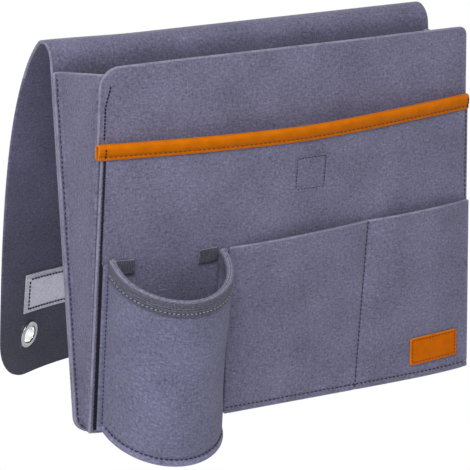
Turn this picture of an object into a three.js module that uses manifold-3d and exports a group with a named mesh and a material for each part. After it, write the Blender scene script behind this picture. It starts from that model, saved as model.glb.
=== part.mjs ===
// Sofa armrest caddy: a sewn felt organizer that hangs over the arm of a sofa by its folded flap.
// Millimetres, +Z up, +X to the right of someone facing the pockets, +Y towards the sofa arm.
// The origin lies on the rear face of the back panel, where it rests against the arm.

import * as THREE from "three";
import { mergeVertices } from "three/addons/utils/BufferGeometryUtils.js";
import Module from "manifold-3d";

const { clamp, degToRad, lerp } = THREE.MathUtils;

// Stock thicknesses, and the clearance between sewn faces
const felt = 2.6;
const leather = 1.2;
const bindingTape = 1.1;
const hookAndLoop = 1.4;
const threadWidth = 0.9;
const threadHeight = 0.5;
const gap = 0.3;

// Back panel, how far it reaches below the front, and the height of the origin above the front's edge
const backWidth = 317.5;
const backCorner = 12;
const backDrop = 6.8;
const restHeight = 150;

// Fold over the top of the back panel: radius at mid felt, and height of its centre
const foldRadius = 13;
const foldHeight = 263;

// Flap behind the fold: it leaves the fold at one slope, steepens towards another and bows out at the middle
const flapStartSlope = degToRad(32);
const flapEndSlope = degToRad(81.5);
const flapEase = 84;
const flapLength = 299.5;
const flapBow = 70;
const flapBowPower = 2.4;
const flapBowGrowth = 1.5;
const flapCorner = 36;

// Hook-and-loop strip on the flap's inner face
const stripWidth = 267;
const stripHeight = 32;
const stripFromFlapEnd = 54.5;
const stripThreadInset = 3.5;

// Metal eyelets in the flap's lower corners
const eyeletBore = 13;
const eyeletWall = 0.8;
const eyeletFlange = 22;
const eyeletDome = 1.4;
const eyeletLip = 2.2;
const washerThickness = 0.8;
const eyeletCurveRoom = 0.3;
const eyeletFromSide = 33.5;
const eyeletFromFlapEnd = 35;

// Front panel, leaning forwards from the bottom, wider there than the back panel and narrower at the top;
// depths run from the back panel's rear face, and the lower edge sags between its corners
const frontFlare = 4.5;
const frontTaper = 15;
const frontWidthBottom = backWidth + frontFlare;
const frontWidthTop = backWidth - frontTaper;
const frontHeight = 267.5;
const frontCornerLeft = 15;
const frontCornerRight = 6;
const frontSag = 2.8;
const frontSagPower = 6;
const frontSagReach = 60;
const depthBottom = 27;
const depthTop = 64.4;

// Gusset strip round the sides and bottom, with outward seam flanges; its top rises towards the front
const gussetFlange = 6;
const gussetBend = 2.5;
const gussetTop = 257.5;
const gussetRise = 2.1;
const gussetSeamInset = 2.5;

// Magazine pocket over the front panel, with a leather trim; its mouth gapes and rises to the right
const pocketHeight = 214.2;
const pocketTilt = 2.9;
const pocketInset = 1.2;
const pocketGape = 12;
const pocketSag = 3.6;
const pocketPeakWidth = 0.1;
const pocketPeakPower = 0.7;
const trimHeight = 9.3;
const trimOverhangLeft = 3.2;
const trimOverhangRight = -0.6;
const trimThreadInset = 2;
const sideSeamInset = 3.2;
const closureSize = 25;
const closureCentreX = 13;
const closureBelowTrim = 17;
const closureThreadInset = 0.6;

// Phone pocket layer, sewn down the middle into two
const phoneFromLeft = 108.7;
const phoneLeft = phoneFromLeft - frontWidthBottom / 2;
const phoneHeightLeft = 127;
const phoneHeightRight = 135.2;
const phoneDividerFromRight = 101;
const phoneDividerLean = 5;
const phoneGape = 7;
const phoneGapeGrowth = 1.5;
const phoneRoundness = 3;
const phoneSeam = 6;
const hemInset = 4.5;

// Label patch
const labelWidth = 41;
const labelHeight = 20.3;
const labelRight = 12.6;
const labelBottom = 12.2;
const labelTilt = degToRad(2.5);
const labelThreadInset = 1.6;

// Bottle holder: a U-shaped wall with seam flanges, a sewn-in base and a bound rim
const holderFromSeam = 2.9;
const holderWidth = 87;
const holderSide = 1;
const holderFlange = 2.2;
const holderBend = 2.5;
const holderRim = 128;
const holderRimSlope = 0.44;
const holderBottom = 3;
const holderBottomSlope = 0.335;
const holderHem = 5;
const bindingHeight = 9.7;
const bindingThreadInset = 2;
const tabLength = 15;
const tabHeight = 9.5;

// Mesh steps
const profileStep = 1;
const acrossSteps = 24;
const upSteps = 12;
const flatSteps = 4;
const patchSteps = 3;
const bendSteps = 3;
const cornerSteps = 6;
const roundSteps = 20;
const eyeletSteps = 28;
const flapSteps = 18;
const phoneSpanSteps = 10;
const phoneUpSteps = 8;
const holderUpSteps = 6;
const stripThreadSteps = 14;
const labelSteps = 6;

const feltColour = 0x74727f;
const leatherColour = 0xc9711a;
const tapeColour = 0x4a494c;
const stripColour = 0xd2d1de;
const threadColour = 0x2b2a30;
const steelColour = 0xc9cacf;

const wasm = await Module();
wasm.setup();

// Evenly spaced values from a to b, both included
function steps(a, b, count) {
  return Array.from({ length: count + 1 }, (_, k) => lerp(a, b, k / count));
}

// Whole numbers from a to b, both included
function indices(a, b) {
  return Array.from({ length: b - a + 1 }, (_, k) => a + k);
}

// A closed geometry with its faces pointing out, from shared vertices
function closed(positions, triangles) {
  let volume = 0;
  const [a, b, c] = [new THREE.Vector3(), new THREE.Vector3(), new THREE.Vector3()];
  for (const [i, j, k] of triangles) {
    a.fromArray(positions, 3 * i);
    b.fromArray(positions, 3 * j);
    c.fromArray(positions, 3 * k);
    volume += a.dot(b.cross(c));
  }
  const faces = volume > 0 ? triangles : triangles.map(([i, j, k]) => [i, k, j]);
  const geometry = new THREE.BufferGeometry();
  geometry.setAttribute("position", new THREE.Float32BufferAttribute(positions, 3));
  geometry.setIndex(faces.flat());
  geometry.computeVertexNormals();
  return geometry;
}

// A solid sheet: place(u, v, side) gives a point of its first face (side 0) or second face (side 1)
function sheet(us, vs, place) {
  const positions = [];
  for (const side of [0, 1]) {
    for (const v of vs) {
      for (const u of us) {
        positions.push(...place(u, v, side).toArray());
      }
    }
  }
  const columns = us.length;
  const rows = vs.length;
  const at = (i, j, side) => (side * rows + j) * columns + i;
  const triangles = [];
  const quad = (p, q, r, s) => triangles.push([p, q, r], [p, r, s]);
  for (let j = 0; j + 1 < rows; j++) {
    for (let i = 0; i + 1 < columns; i++) {
      quad(at(i, j, 1), at(i + 1, j, 1), at(i + 1, j + 1, 1), at(i, j + 1, 1));
      quad(at(i, j, 0), at(i, j + 1, 0), at(i + 1, j + 1, 0), at(i + 1, j, 0));
    }
  }
  for (let i = 0; i + 1 < columns; i++) {
    quad(at(i, 0, 0), at(i + 1, 0, 0), at(i + 1, 0, 1), at(i, 0, 1));
    quad(at(i, rows - 1, 1), at(i + 1, rows - 1, 1), at(i + 1, rows - 1, 0), at(i, rows - 1, 0));
  }
  for (let j = 0; j + 1 < rows; j++) {
    quad(at(0, j, 1), at(0, j + 1, 1), at(0, j + 1, 0), at(0, j, 0));
    quad(at(columns - 1, j, 0), at(columns - 1, j + 1, 0), at(columns - 1, j + 1, 1), at(columns - 1, j, 1));
  }
  return closed(positions, triangles);
}

// A ring turned about Z from a closed outline of radius and height
function turned(outline) {
  const points = [...outline, outline[0]].map(([radius, height]) => new THREE.Vector2(radius, height));
  const lathe = new THREE.LatheGeometry(points, eyeletSteps).rotateX(Math.PI / 2);
  lathe.deleteAttribute("normal");
  lathe.deleteAttribute("uv");
  const merged = mergeVertices(lathe);
  const index = Array.from(merged.index.array);
  const triangles = [];
  for (let k = 0; k < index.length; k += 3) {
    triangles.push(index.slice(k, k + 3));
  }
  return closed(Array.from(merged.attributes.position.array), triangles);
}

// The geometry with a tool cut out of it
function cut(geometry, tool) {
  const [body, cutter] = [geometry, tool].map((source) => {
    const bare = new THREE.BufferGeometry();
    bare.setAttribute("position", source.attributes.position.clone());
    bare.setIndex(source.index.clone());
    const merged = mergeVertices(bare);
    const mesh = new wasm.Mesh({
      numProp: 3,
      vertProperties: new Float32Array(merged.attributes.position.array),
      triVerts: new Uint32Array(merged.index.array),
    });
    return new wasm.Manifold(mesh);
  });
  const result = body.subtract(cutter).getMesh();
  const geometryOut = new THREE.BufferGeometry();
  geometryOut.setAttribute("position", new THREE.Float32BufferAttribute(result.vertProperties, 3));
  geometryOut.setIndex(Array.from(result.triVerts));
  geometryOut.computeVertexNormals();
  return geometryOut;
}

// Stations along straight runs and bends in a plane: a point and the normal on the right-hand side
function track(start, heading, moves) {
  let [a, b] = start;
  let angle = heading;
  const station = () => ({ a, b, na: Math.sin(angle), nb: -Math.cos(angle) });
  const stations = [station()];
  for (const { length = 0, radius = 0, turn = 0, count } of moves) {
    const bend = turn / count;
    const stride = turn ? 2 * radius * Math.sin(Math.abs(bend) / 2) : length / count;
    for (let k = 0; k < count; k++) {
      angle += bend / 2;
      a += stride * Math.cos(angle);
      b += stride * Math.sin(angle);
      angle += bend / 2;
      stations.push(station());
    }
  }
  return stations;
}

// How far a rounded corner cuts back an edge, at a distance in from the side
function cornerCut(radius, fromSide) {
  const inside = Math.max(radius - fromSide, 0);
  return radius - Math.sqrt(radius ** 2 - inside ** 2);
}

// Places across a panel, from -1 to 1, that follow the rounded corners at its left and right
function cornerColumns(halfWidth, leftRadius, rightRadius, middleSteps) {
  const angles = steps(0, Math.PI / 2, cornerSteps);
  const insets = (radius) => angles.map((angle) => radius * (1 - Math.cos(angle)) / halfWidth);
  const left = insets(leftRadius).map((inset) => inset - 1);
  const right = insets(rightRadius).map((inset) => 1 - inset);
  const middle = steps(left[cornerSteps], right[cornerSteps], middleSteps).slice(1, -1);
  return [...left, ...middle, ...right.reverse()];
}

// A path moved sideways in its plane, with mitred corners
function offsetPath(path, distance) {
  return path.map(([a, b], k) => {
    const [a0, b0] = path[Math.max(k - 1, 0)];
    const [a1, b1] = path[Math.min(k + 1, path.length - 1)];
    const before = new THREE.Vector2(a - a0, b - b0).normalize();
    const after = new THREE.Vector2(a1 - a, b1 - b).normalize();
    const along = before.clone().add(after).normalize();
    const lead = after.lengthSq() ? after : before;
    const mitre = distance / along.dot(lead);
    return [a - along.y * mitre, b + along.x * mitre];
  });
}

// A sewing thread that follows a path on a face; place(a, b, lift) gives a point above the face
function threadOn(path, place) {
  const edges = [offsetPath(path, -threadWidth / 2), offsetPath(path, threadWidth / 2)];
  return sheet([0, 1], indices(0, path.length - 1), (edge, k, side) => {
    const [a, b] = edges[edge][k];
    return place(a, b, gap + side * threadHeight);
  });
}

// A path round a rectangle that stops one thread width short of its start
function frame(left, right, bottom, top, count) {
  return [
    ...steps(left, right, count).map((a) => [a, bottom]),
    ...steps(bottom, top, count).slice(1).map((b) => [right, b]),
    ...steps(right, left, count).slice(1).map((a) => [a, top]),
    ...steps(top, bottom + 2 * threadWidth, count).slice(1).map((b) => [left, b]),
  ];
}

// How far the front hangs below the line through its lower corners, less and less higher up
function frontSagAt(x, v) {
  const across = 1 - Math.min(Math.abs(2 * x / frontWidthBottom), 1) ** frontSagPower;
  return frontSag * across * (1 - clamp(v / frontSagReach, 0, 1)) ** 2;
}

// The leaning front: x across, n outwards from the front panel's rear face, v up along the panel
const lean = Math.asin((depthTop - depthBottom) / frontHeight);

function front(x, n, v) {
  const up = v - frontSagAt(x, v);
  const y = -depthBottom - up * Math.sin(lean) - n * Math.cos(lean);
  const z = up * Math.cos(lean) - n * Math.sin(lean);
  return new THREE.Vector3(x, y, z);
}

function frontHalf(v) {
  return lerp(frontWidthBottom, frontWidthTop, v / frontHeight) / 2;
}

// The pocket draws in from the front panel's sides towards its mouth
function pocketHalf(v) {
  return frontHalf(v) - pocketInset * v / pocketHeight;
}

// How far the pocket's mouth gapes across its width: 1 in the middle, 0 at the side seams
function gapeAcross(x, v) {
  const peak = pocketPeakWidth ** 2;
  const rise = (u) => (u * u + peak) ** pocketPeakPower - peak ** pocketPeakPower;
  return 1 - rise(x / frontHalf(v)) / rise(1);
}

// The pocket stands off the front panel by its gape, and by the trim's rear leg at the mouth
function pocketLift(x, v) {
  const gape = pocketGape * (v / pocketHeight) ** 2 * gapeAcross(x, v);
  const trimRoom = (leather + gap) * v / (pocketHeight - trimHeight);
  return gape + trimRoom;
}

function pocketTopAt(x) {
  const tilt = pocketTilt * x / frontWidthTop;
  return pocketHeight + tilt - pocketSag * gapeAcross(x, pocketHeight);
}

function pocketRear(x, v) {
  return felt + gap + pocketLift(x, v);
}

function pocketFace(x, v) {
  return pocketRear(x, v) + felt;
}

function trimFace(x, v) {
  return pocketFace(x, v) + gap + leather;
}

// The phone pockets' mouth rises a little towards the right
function phoneTopAt(x) {
  const share = (x - phoneLeft) / (pocketHalf(phoneHeightRight) - phoneLeft);
  return lerp(phoneHeightLeft, phoneHeightRight, share);
}

// The seam between the two phone pockets leans to the right
function phoneDividerAt(v) {
  return frontWidthBottom / 2 - phoneDividerFromRight + phoneDividerLean * v / phoneHeightRight;
}

// The two phone pockets swell between their seams, most at the mouth
function phoneLift(x, v) {
  const divider = phoneDividerAt(v);
  const right = x > divider;
  const start = right ? divider : phoneLeft + phoneSeam;
  const end = right ? pocketHalf(v) - phoneSeam : divider;
  const t = clamp((x - start) / (end - start), 0, 1);
  const up = (v / phoneTopAt(x)) ** phoneGapeGrowth;
  const across = 1 - Math.abs(2 * t - 1) ** phoneRoundness;
  return phoneGape * up * across;
}

function phoneFace(x, v) {
  return pocketFace(x, v) + gap + phoneLift(x, v) + felt;
}

// The flap's profile from the end of the fold, as stations one step apart
const foldCentreY = foldRadius - felt / 2;
const flapSlopeAt = (s) => flapEndSlope - (flapEndSlope - flapStartSlope) * Math.exp(-s / flapEase);
const flapProfile = [];
{
  let y = foldCentreY + foldRadius * Math.sin(flapStartSlope);
  let z = foldHeight + foldRadius * Math.cos(flapStartSlope);
  for (let s = 0; s <= flapLength + profileStep; s += profileStep) {
    flapProfile.push([y, z]);
    const slope = flapSlopeAt(s + profileStep / 2);
    y += profileStep * Math.cos(slope);
    z -= profileStep * Math.sin(slope);
  }
}

// A point of the flap at mid felt: x across, s down from the fold; its middle bows away from the box
function flapMiddle(x, s) {
  const place = s / profileStep;
  const k = clamp(Math.floor(place), 0, flapProfile.length - 2);
  const [y0, z0] = flapProfile[k];
  const [y1, z1] = flapProfile[k + 1];
  const bowDown = (Math.max(s, 0) / flapLength) ** flapBowGrowth;
  const bow = flapBow * bowDown * (1 - Math.abs(2 * x / backWidth) ** flapBowPower);
  return new THREE.Vector3(x, lerp(y0, y1, place - k) + bow, lerp(z0, z1, place - k));
}

// The flap's normal on the face that looks towards the box
function flapNormal(x, s) {
  const across = flapMiddle(x + profileStep, s).sub(flapMiddle(x - profileStep, s));
  const down = flapMiddle(x, s + profileStep).sub(flapMiddle(x, s - profileStep));
  return down.cross(across).normalize();
}

function flapPoint(x, s, offset) {
  return flapMiddle(x, s).addScaledVector(flapNormal(x, s), offset);
}

// The bottle holder's plan at a share t of its height, from its left flange round to its right one
function holderPlan(t) {
  const start = sideSeamInset + holderFromSeam - frontHalf(lerp(holderBottom, holderRim, t));
  const radius = holderWidth / 2;
  const side = { length: holderSide, count: 1 };
  const flange = { length: holderFlange, count: 1 };
  const bend = { radius: holderBend, turn: Math.PI / 2, count: bendSteps };
  const round = { radius, turn: -Math.PI, count: roundSteps };
  return track([start, gap + felt / 2], 0, [flange, bend, side, round, side, bend, flange]);
}

const holderStations = indices(0, holderPlan(0).length - 1);
const holderRound = holderStations.slice(1 + bendSteps, -1 - bendSteps);

// The wall's height at a distance h out from the pocket, and the height of its lower edge there
const holderFoot = (h) => holderBottom - holderBottomSlope * h;
const holderHeight = (h) => holderRim - holderRimSlope * h - holderFoot(h);

// A point of the holder: station k of the plan at a share t of the height, dv further up the wall,
// and offset outwards from mid felt
function holderPoint(k, t, dv, offset) {
  const share = t + dv / holderHeight(holderPlan(t)[k].b);
  const { a, b, na, nb } = holderPlan(share)[k];
  const x = a - na * offset;
  const v = holderFoot(b) + share * holderHeight(b);
  return front(x, pocketFace(x, Math.max(v, 0)) + b - nb * offset, v);
}

// Materials
const soft = (color) => new THREE.MeshStandardMaterial({ color, roughness: 0.95, metalness: 0 });
const hide = () => new THREE.MeshStandardMaterial({ color: leatherColour, roughness: 0.5, metalness: 0 });
const steel = () => new THREE.MeshStandardMaterial({ color: steelColour, roughness: 0.25, metalness: 1 });

const caddy = new THREE.Group();
caddy.position.z = -restHeight;

function add(name, geometry, material) {
  const mesh = new THREE.Mesh(geometry, material);
  mesh.name = name;
  caddy.add(mesh);
}

// Back panel, with its lower corners rounded
function backPanel() {
  const half = backWidth / 2;
  const top = foldHeight - gap / 2;
  return sheet(cornerColumns(half, backCorner, backCorner, flatSteps), [0, 1], (u, v, side) => {
    const bottom = cornerCut(backCorner, half * (1 - Math.abs(u))) - backDrop;
    return new THREE.Vector3(u * half, -felt * side, lerp(bottom, top, v));
  });
}

// The bend of felt over the top, between the back panel and the flap
function foldStrip() {
  const half = backWidth / 2;
  const trim = gap / 2 / foldRadius;
  const angles = steps(trim, Math.PI / 2 + flapStartSlope - trim, 3 * bendSteps);
  return sheet([-half, half], angles, (x, angle, side) => {
    const radius = foldRadius + felt * (side - 0.5);
    const y = foldCentreY - radius * Math.cos(angle);
    return new THREE.Vector3(x, y, foldHeight + radius * Math.sin(angle));
  });
}

// Flap with rounded lower corners and an eyelet hole in each
function flap() {
  const half = backWidth / 2;
  const columns = cornerColumns(half, flapCorner, flapCorner, acrossSteps);
  const body = sheet(columns, steps(0, 1, flapSteps), (u, v, side) => {
    const end = flapLength - cornerCut(flapCorner, half * (1 - Math.abs(u)));
    return flapPoint(u * half, lerp(gap / 2, end, v), felt * (side - 0.5));
  });
  return [-1, 1].reduce((geometry, hand) => {
    const radius = eyeletBarrel + gap;
    const hole = new THREE.CylinderGeometry(radius, radius, eyeletFlange, eyeletSteps);
    hole.deleteAttribute("normal");
    hole.deleteAttribute("uv");
    hole.rotateX(Math.PI / 2);
    hole.applyMatrix4(eyeletPlace(hand));
    return cut(geometry, mergeVertices(hole));
  }, body);
}

// Eyelets: local Z looks towards the box, zero at mid felt
const eyeletBarrel = eyeletBore / 2 + eyeletWall;
const eyeletSeat = felt / 2 + gap + eyeletCurveRoom;

function eyeletPlace(hand) {
  const x = hand * (backWidth / 2 - eyeletFromSide);
  const s = flapLength - eyeletFromFlapEnd;
  const turn = new THREE.Quaternion().setFromUnitVectors(new THREE.Vector3(0, 0, 1), flapNormal(x, s));
  return new THREE.Matrix4().compose(flapMiddle(x, s), turn, new THREE.Vector3(1, 1, 1));
}

function eyelet() {
  const bore = eyeletBore / 2;
  const rim = eyeletFlange / 2;
  const lip = eyeletSeat + washerThickness + gap;
  return turned([
    [bore, -lip - eyeletWall],
    [bore + eyeletLip, -lip - eyeletWall],
    [bore + eyeletLip, -lip],
    [eyeletBarrel, -lip],
    [eyeletBarrel, eyeletSeat],
    [rim, eyeletSeat],
    [rim, eyeletSeat + eyeletDome / 3],
    [lerp(bore, rim, 3 / 4), eyeletSeat + eyeletDome],
    [lerp(bore, rim, 1 / 3), eyeletSeat + eyeletDome],
    [bore, eyeletSeat + eyeletDome / 3],
  ]);
}

function eyeletWasher() {
  const [inner, outer] = [eyeletBarrel + gap, eyeletFlange / 2];
  return turned([
    [inner, -eyeletSeat - washerThickness],
    [outer, -eyeletSeat - washerThickness],
    [outer, -eyeletSeat],
    [inner, -eyeletSeat],
  ]);
}

// Fastening strip on the flap's inner face
const stripEnd = flapLength - stripFromFlapEnd;
const stripSeat = felt / 2 + gap;

function flapStrip() {
  const xs = steps(-stripWidth / 2, stripWidth / 2, acrossSteps);
  return sheet(xs, steps(stripEnd - stripHeight, stripEnd, patchSteps), (x, s, side) => {
    return flapPoint(x, s, stripSeat + hookAndLoop * side);
  });
}

function flapStripThread() {
  const reach = stripWidth / 2 - stripThreadInset;
  const [upper, lower] = [stripEnd - stripHeight + stripThreadInset, stripEnd - stripThreadInset];
  const path = frame(-reach, reach, upper, lower, stripThreadSteps);
  return threadOn(path, (x, s, lift) => flapPoint(x, s, stripSeat + hookAndLoop + lift));
}

// Front panel with rounded upper corners
function frontPanel() {
  const half = frontWidthTop / 2;
  const columns = cornerColumns(half, frontCornerLeft, frontCornerRight, acrossSteps);
  return sheet(columns, [0, 1], (u, share, side) => {
    const corner = u < 0 ? frontCornerLeft : frontCornerRight;
    const v = share * (frontHeight - cornerCut(corner, half * (1 - Math.abs(u))));
    return front(u * frontHalf(v), felt * side, v);
  });
}

// Gusset strip: down the left side, along the bottom and up the right, flanges sewn to both panels
const gussetRear = felt + gap + felt / 2;

function gussetDepth(z) {
  return depthBottom + z * Math.tan(lean) - gussetRear - (gap + felt / 2) / Math.cos(lean);
}

function gussetRoute() {
  const half = backWidth / 2 - gussetFlange;
  const radius = backCorner - gussetFlange;
  const rise = { length: gussetTop - gussetFlange - radius, count: patchSteps };
  const corner = { radius, turn: Math.PI / 2, count: cornerSteps };
  const floor = { length: 2 * (half - radius), count: acrossSteps };
  return track([-half, gussetTop], -Math.PI / 2, [rise, corner, floor, corner, rise]);
}

// The section across the strip, from the rear flange's edge to the front one's
function gussetSection(z) {
  const flange = { length: gussetFlange - gussetBend, count: 1 };
  const bend = { radius: gussetBend, turn: -Math.PI / 2, count: bendSteps };
  const web = { length: gussetDepth(z) - 2 * gussetBend, count: patchSteps };
  return track([gussetFlange, 0], Math.PI, [flange, bend, web, bend, flange]);
}

// A point at a station of the route: out from the web's middle, and depth forwards from the rear flange
function gussetPoint({ a, b, na, nb }, out, depth) {
  const z = b + nb * out;
  const share = depth / gussetDepth(b);
  const widen = lerp(1, frontHalf(z / Math.cos(lean)) / (backWidth / 2), share);
  const x = (a + na * out) * widen;
  const rear = z - backDrop * (1 - z / gussetTop);
  const fore = z + gussetRise * z / gussetTop - frontSagAt(x, z);
  return new THREE.Vector3(x, -gussetRear - share * gussetDepth(fore), lerp(rear, fore, share));
}

function gussetStrip() {
  return sheet(indices(0, gussetSection(0).length - 1), gussetRoute(), (k, station, side) => {
    const { a, b, na, nb } = gussetSection(station.b)[k];
    const offset = felt * (side - 0.5);
    return gussetPoint(station, a + na * offset, b + nb * offset);
  });
}

// Thread on the rear flange that sews the strip to the back panel
function gussetThread() {
  return sheet([-1, 1], gussetRoute(), (edge, station, side) => {
    const out = gussetFlange - gussetSeamInset + edge * threadWidth / 2;
    return gussetPoint(station, out, felt / 2 + gap + threadHeight * side);
  });
}

// Magazine pocket, sewn to the front panel at its sides and bottom
function magazinePocket() {
  return sheet(steps(-1, 1, acrossSteps), steps(0, 1, upSteps), (u, share, side) => {
    const v = share * pocketTopAt(u * pocketHalf(pocketHeight));
    const x = u * pocketHalf(v);
    return front(x, pocketRear(x, v) + felt * side, v);
  });
}

// Trim folded over the pocket's mouth: front leg, top, rear leg
function pocketTrim() {
  const legs = [[1, 0], [1, 1], [0, 1], [0, 0]];
  return sheet(indices(0, 3), steps(-1, 1, acrossSteps), (leg, u, side) => {
    const [outside, top] = legs[leg];
    const clear = gap + leather * side;
    const v = pocketTopAt(u * pocketHalf(pocketHeight)) + (top ? clear : -trimHeight);
    const x = u * (pocketHalf(v) + (u < 0 ? trimOverhangLeft : trimOverhangRight));
    return front(x, outside ? pocketFace(x, v) + clear : pocketRear(x, v) - clear, v);
  });
}

// Thread along the lower edge of the trim
function trimThread() {
  const path = steps(-1, 1, acrossSteps).map((u) => {
    const reach = pocketHalf(pocketHeight) - trimThreadInset;
    const x = u * reach;
    return [x, pocketTopAt(x) - trimHeight + trimThreadInset];
  });
  return threadOn(path, (x, v, lift) => front(x, trimFace(x, v) + lift, v));
}

// Side seam threads on the pocket's face
function sideThread(hand, bottom) {
  const top = pocketTopAt(hand * pocketHalf(pocketHeight)) - trimHeight - 2 * gap;
  const path = steps(bottom, top, upSteps).map((v) => [hand * (frontHalf(v) - sideSeamInset), v]);
  return threadOn(path, (x, v, lift) => front(x, pocketFace(x, v) + lift, v));
}

// The same seams on the front panel, above the pocket
function panelThread(hand) {
  const bottom = pocketTopAt(hand * pocketHalf(pocketHeight)) + 2 * gap + leather;
  const heights = steps(bottom, gussetTop - gussetFlange, patchSteps);
  const path = heights.map((v) => [hand * (frontHalf(v) - sideSeamInset), v]);
  return threadOn(path, (x, v, lift) => front(x, felt + lift, v));
}

// Closure squares inside the pocket: one on the front panel, one on the back of the pocket
const closureLeft = closureCentreX - closureSize / 2;
const closureBottom = pocketHeight - trimHeight - closureBelowTrim - closureSize;
const closureRows = steps(closureBottom, closureBottom + closureSize, patchSteps);
const closureColumns = steps(closureLeft, closureLeft + closureSize, flatSteps);

function closureOnPanel() {
  return sheet(closureColumns, closureRows, (x, v, side) => front(x, felt + gap + hookAndLoop * side, v));
}

function closureOnPocket() {
  return sheet(closureColumns, closureRows, (x, v, side) => {
    return front(x, pocketRear(x, v) - gap - hookAndLoop * side, v);
  });
}

function closureThread() {
  const inset = closureThreadInset;
  const [left, right] = [closureLeft + inset, closureLeft + closureSize - inset];
  const path = frame(left, right, closureBottom + inset, closureBottom + closureSize - inset, flatSteps);
  return threadOn(path, (x, v, lift) => front(x, pocketFace(x, v) + lift, v));
}

// Phone pocket layer
function phonePocket() {
  const columns = indices(0, 2 * phoneSpanSteps + 2);
  const xAt = (k, v) => {
    const divider = phoneDividerAt(v);
    const left = steps(phoneLeft + phoneSeam, divider, phoneSpanSteps);
    const right = steps(divider, pocketHalf(v) - phoneSeam, phoneSpanSteps).slice(1);
    return [phoneLeft, ...left, ...right, pocketHalf(v)][k];
  };
  return sheet(columns, steps(0, 1, phoneUpSteps), (k, share, side) => {
    const v = share * phoneTopAt(xAt(k, phoneHeightRight));
    const x = xAt(k, v);
    return front(x, phoneFace(x, v) - felt * (1 - side), v);
  });
}

function dividerThread() {
  const top = phoneTopAt(phoneDividerAt(phoneHeightRight));
  const heights = steps(hemInset + 2 * threadWidth, top, phoneUpSteps);
  const path = heights.map((v) => [phoneDividerAt(v), v]);
  return threadOn(path, (x, v, lift) => front(x, phoneFace(x, v) + lift, v));
}

function hemThread() {
  const right = frontHalf(hemInset) - sideSeamInset;
  const path = steps(phoneLeft + threadWidth, right, acrossSteps).map((x) => [x, hemInset]);
  return threadOn(path, (x, v, lift) => front(x, phoneFace(x, v) + lift, v));
}

// Blank leather label, sewn on with a slight tilt: across from its left edge, up from its lower one
function onLabel(across, up, lift) {
  const place = new THREE.Vector2(across - labelWidth / 2, up - labelHeight / 2);
  place.rotateAround(new THREE.Vector2(), labelTilt);
  const x = frontWidthBottom / 2 - labelRight - labelWidth / 2 + place.x;
  const v = labelBottom + labelHeight / 2 + place.y;
  return front(x, phoneFace(x, v) + gap + lift, v);
}

function label() {
  const [columns, rows] = [steps(0, labelWidth, labelSteps), steps(0, labelHeight, patchSteps)];
  return sheet(columns, rows, (across, up, side) => onLabel(across, up, leather * side));
}

function labelThread() {
  const inset = labelThreadInset;
  const path = frame(inset, labelWidth - inset, inset, labelHeight - inset, labelSteps);
  return threadOn(path, (across, up, lift) => onLabel(across, up, leather + lift));
}

// Bottle holder wall
function holderWall() {
  return sheet(holderStations, steps(0, 1, holderUpSteps), (k, t, side) => {
    return holderPoint(k, t, 0, felt * (side - 0.5));
  });
}

// Base sewn in above the wall's hem, sloping down towards the front
function holderBase() {
  const t = holderHem / (holderRim - holderBottom);
  const plan = holderPlan(t);
  const radius = holderWidth / 2 - felt / 2 - 2 * gap;
  const centre = plan[holderRound[0]].a + holderWidth / 2;
  const roundStart = holderSide + holderBend + gap + felt / 2;
  const angles = steps(-Math.PI / 2, Math.PI / 2, roundSteps);
  return sheet(angles, steps(0, 1, patchSteps), (angle, share, side) => {
    const x = centre + radius * Math.sin(angle);
    const h = lerp(gap, roundStart + radius * Math.cos(angle), share);
    const v = holderFoot(h) + holderHem + felt * side;
    return front(x, pocketFace(x, Math.max(v, 0)) + h, v);
  });
}

// Thread round the wall that holds the base
function holderBaseThread() {
  return sheet([-1, 1], holderRound, (edge, k, side) => {
    const dv = holderHem + felt / 2 + edge * threadWidth / 2;
    return holderPoint(k, 0, dv, felt / 2 + gap + threadHeight * side);
  });
}

// Binding folded over the rim: outer leg, top, inner leg
function holderBinding() {
  const legs = [[1, 0], [1, 1], [-1, 1], [-1, 0]];
  return sheet(indices(0, 3), holderRound, (leg, k, side) => {
    const [outside, top] = legs[leg];
    const clear = gap + bindingTape * side;
    return holderPoint(k, 1, top ? clear : -bindingHeight, outside * (felt / 2 + clear));
  });
}

function bindingThread() {
  const face = felt / 2 + gap + bindingTape + gap;
  return sheet([-1, 1], holderRound, (edge, k, side) => {
    const dv = bindingThreadInset - bindingHeight + edge * threadWidth / 2;
    return holderPoint(k, 1, dv, face + threadHeight * side);
  });
}

// Ends of the binding, folded in and sewn flat to the pocket inside the mouth
function bindingTab(hand) {
  const plan = holderPlan(1);
  const station = hand < 0 ? holderRound[0] : holderRound[holderRound.length - 1];
  const clear = felt / 2 + 2 * gap + bindingTape;
  const start = plan[station].a - hand * clear;
  const xs = steps(start, start - hand * tabLength, patchSteps);
  return sheet(xs, [holderRim - tabHeight, holderRim], (x, v, side) => {
    return front(x, pocketFace(x, v) + gap + bindingTape * side, v);
  });
}

add("back_panel", backPanel(), soft(feltColour));
add("top_fold", foldStrip(), soft(feltColour));
add("front_panel", frontPanel(), soft(feltColour));
add("gusset_strip", gussetStrip(), soft(feltColour));
add("gusset_thread", gussetThread(), soft(threadColour));
add("magazine_pocket", magazinePocket(), soft(feltColour));
add("pocket_trim", pocketTrim(), hide());
add("pocket_trim_thread", trimThread(), soft(threadColour));
add("left_seam_thread", sideThread(-1, hemInset), soft(threadColour));
add("right_seam_thread", sideThread(1, phoneHeightRight + threadWidth), soft(threadColour));
add("left_panel_thread", panelThread(-1), soft(threadColour));
add("right_panel_thread", panelThread(1), soft(threadColour));
add("closure_loop_square", closureOnPanel(), soft(stripColour));
add("closure_hook_square", closureOnPocket(), soft(stripColour));
add("closure_thread", closureThread(), soft(threadColour));
add("phone_pocket", phonePocket(), soft(feltColour));
add("phone_divider_thread", dividerThread(), soft(threadColour));
add("phone_hem_thread", hemThread(), soft(threadColour));
add("label_patch", label(), hide());
add("label_thread", labelThread(), soft(threadColour));
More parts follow.
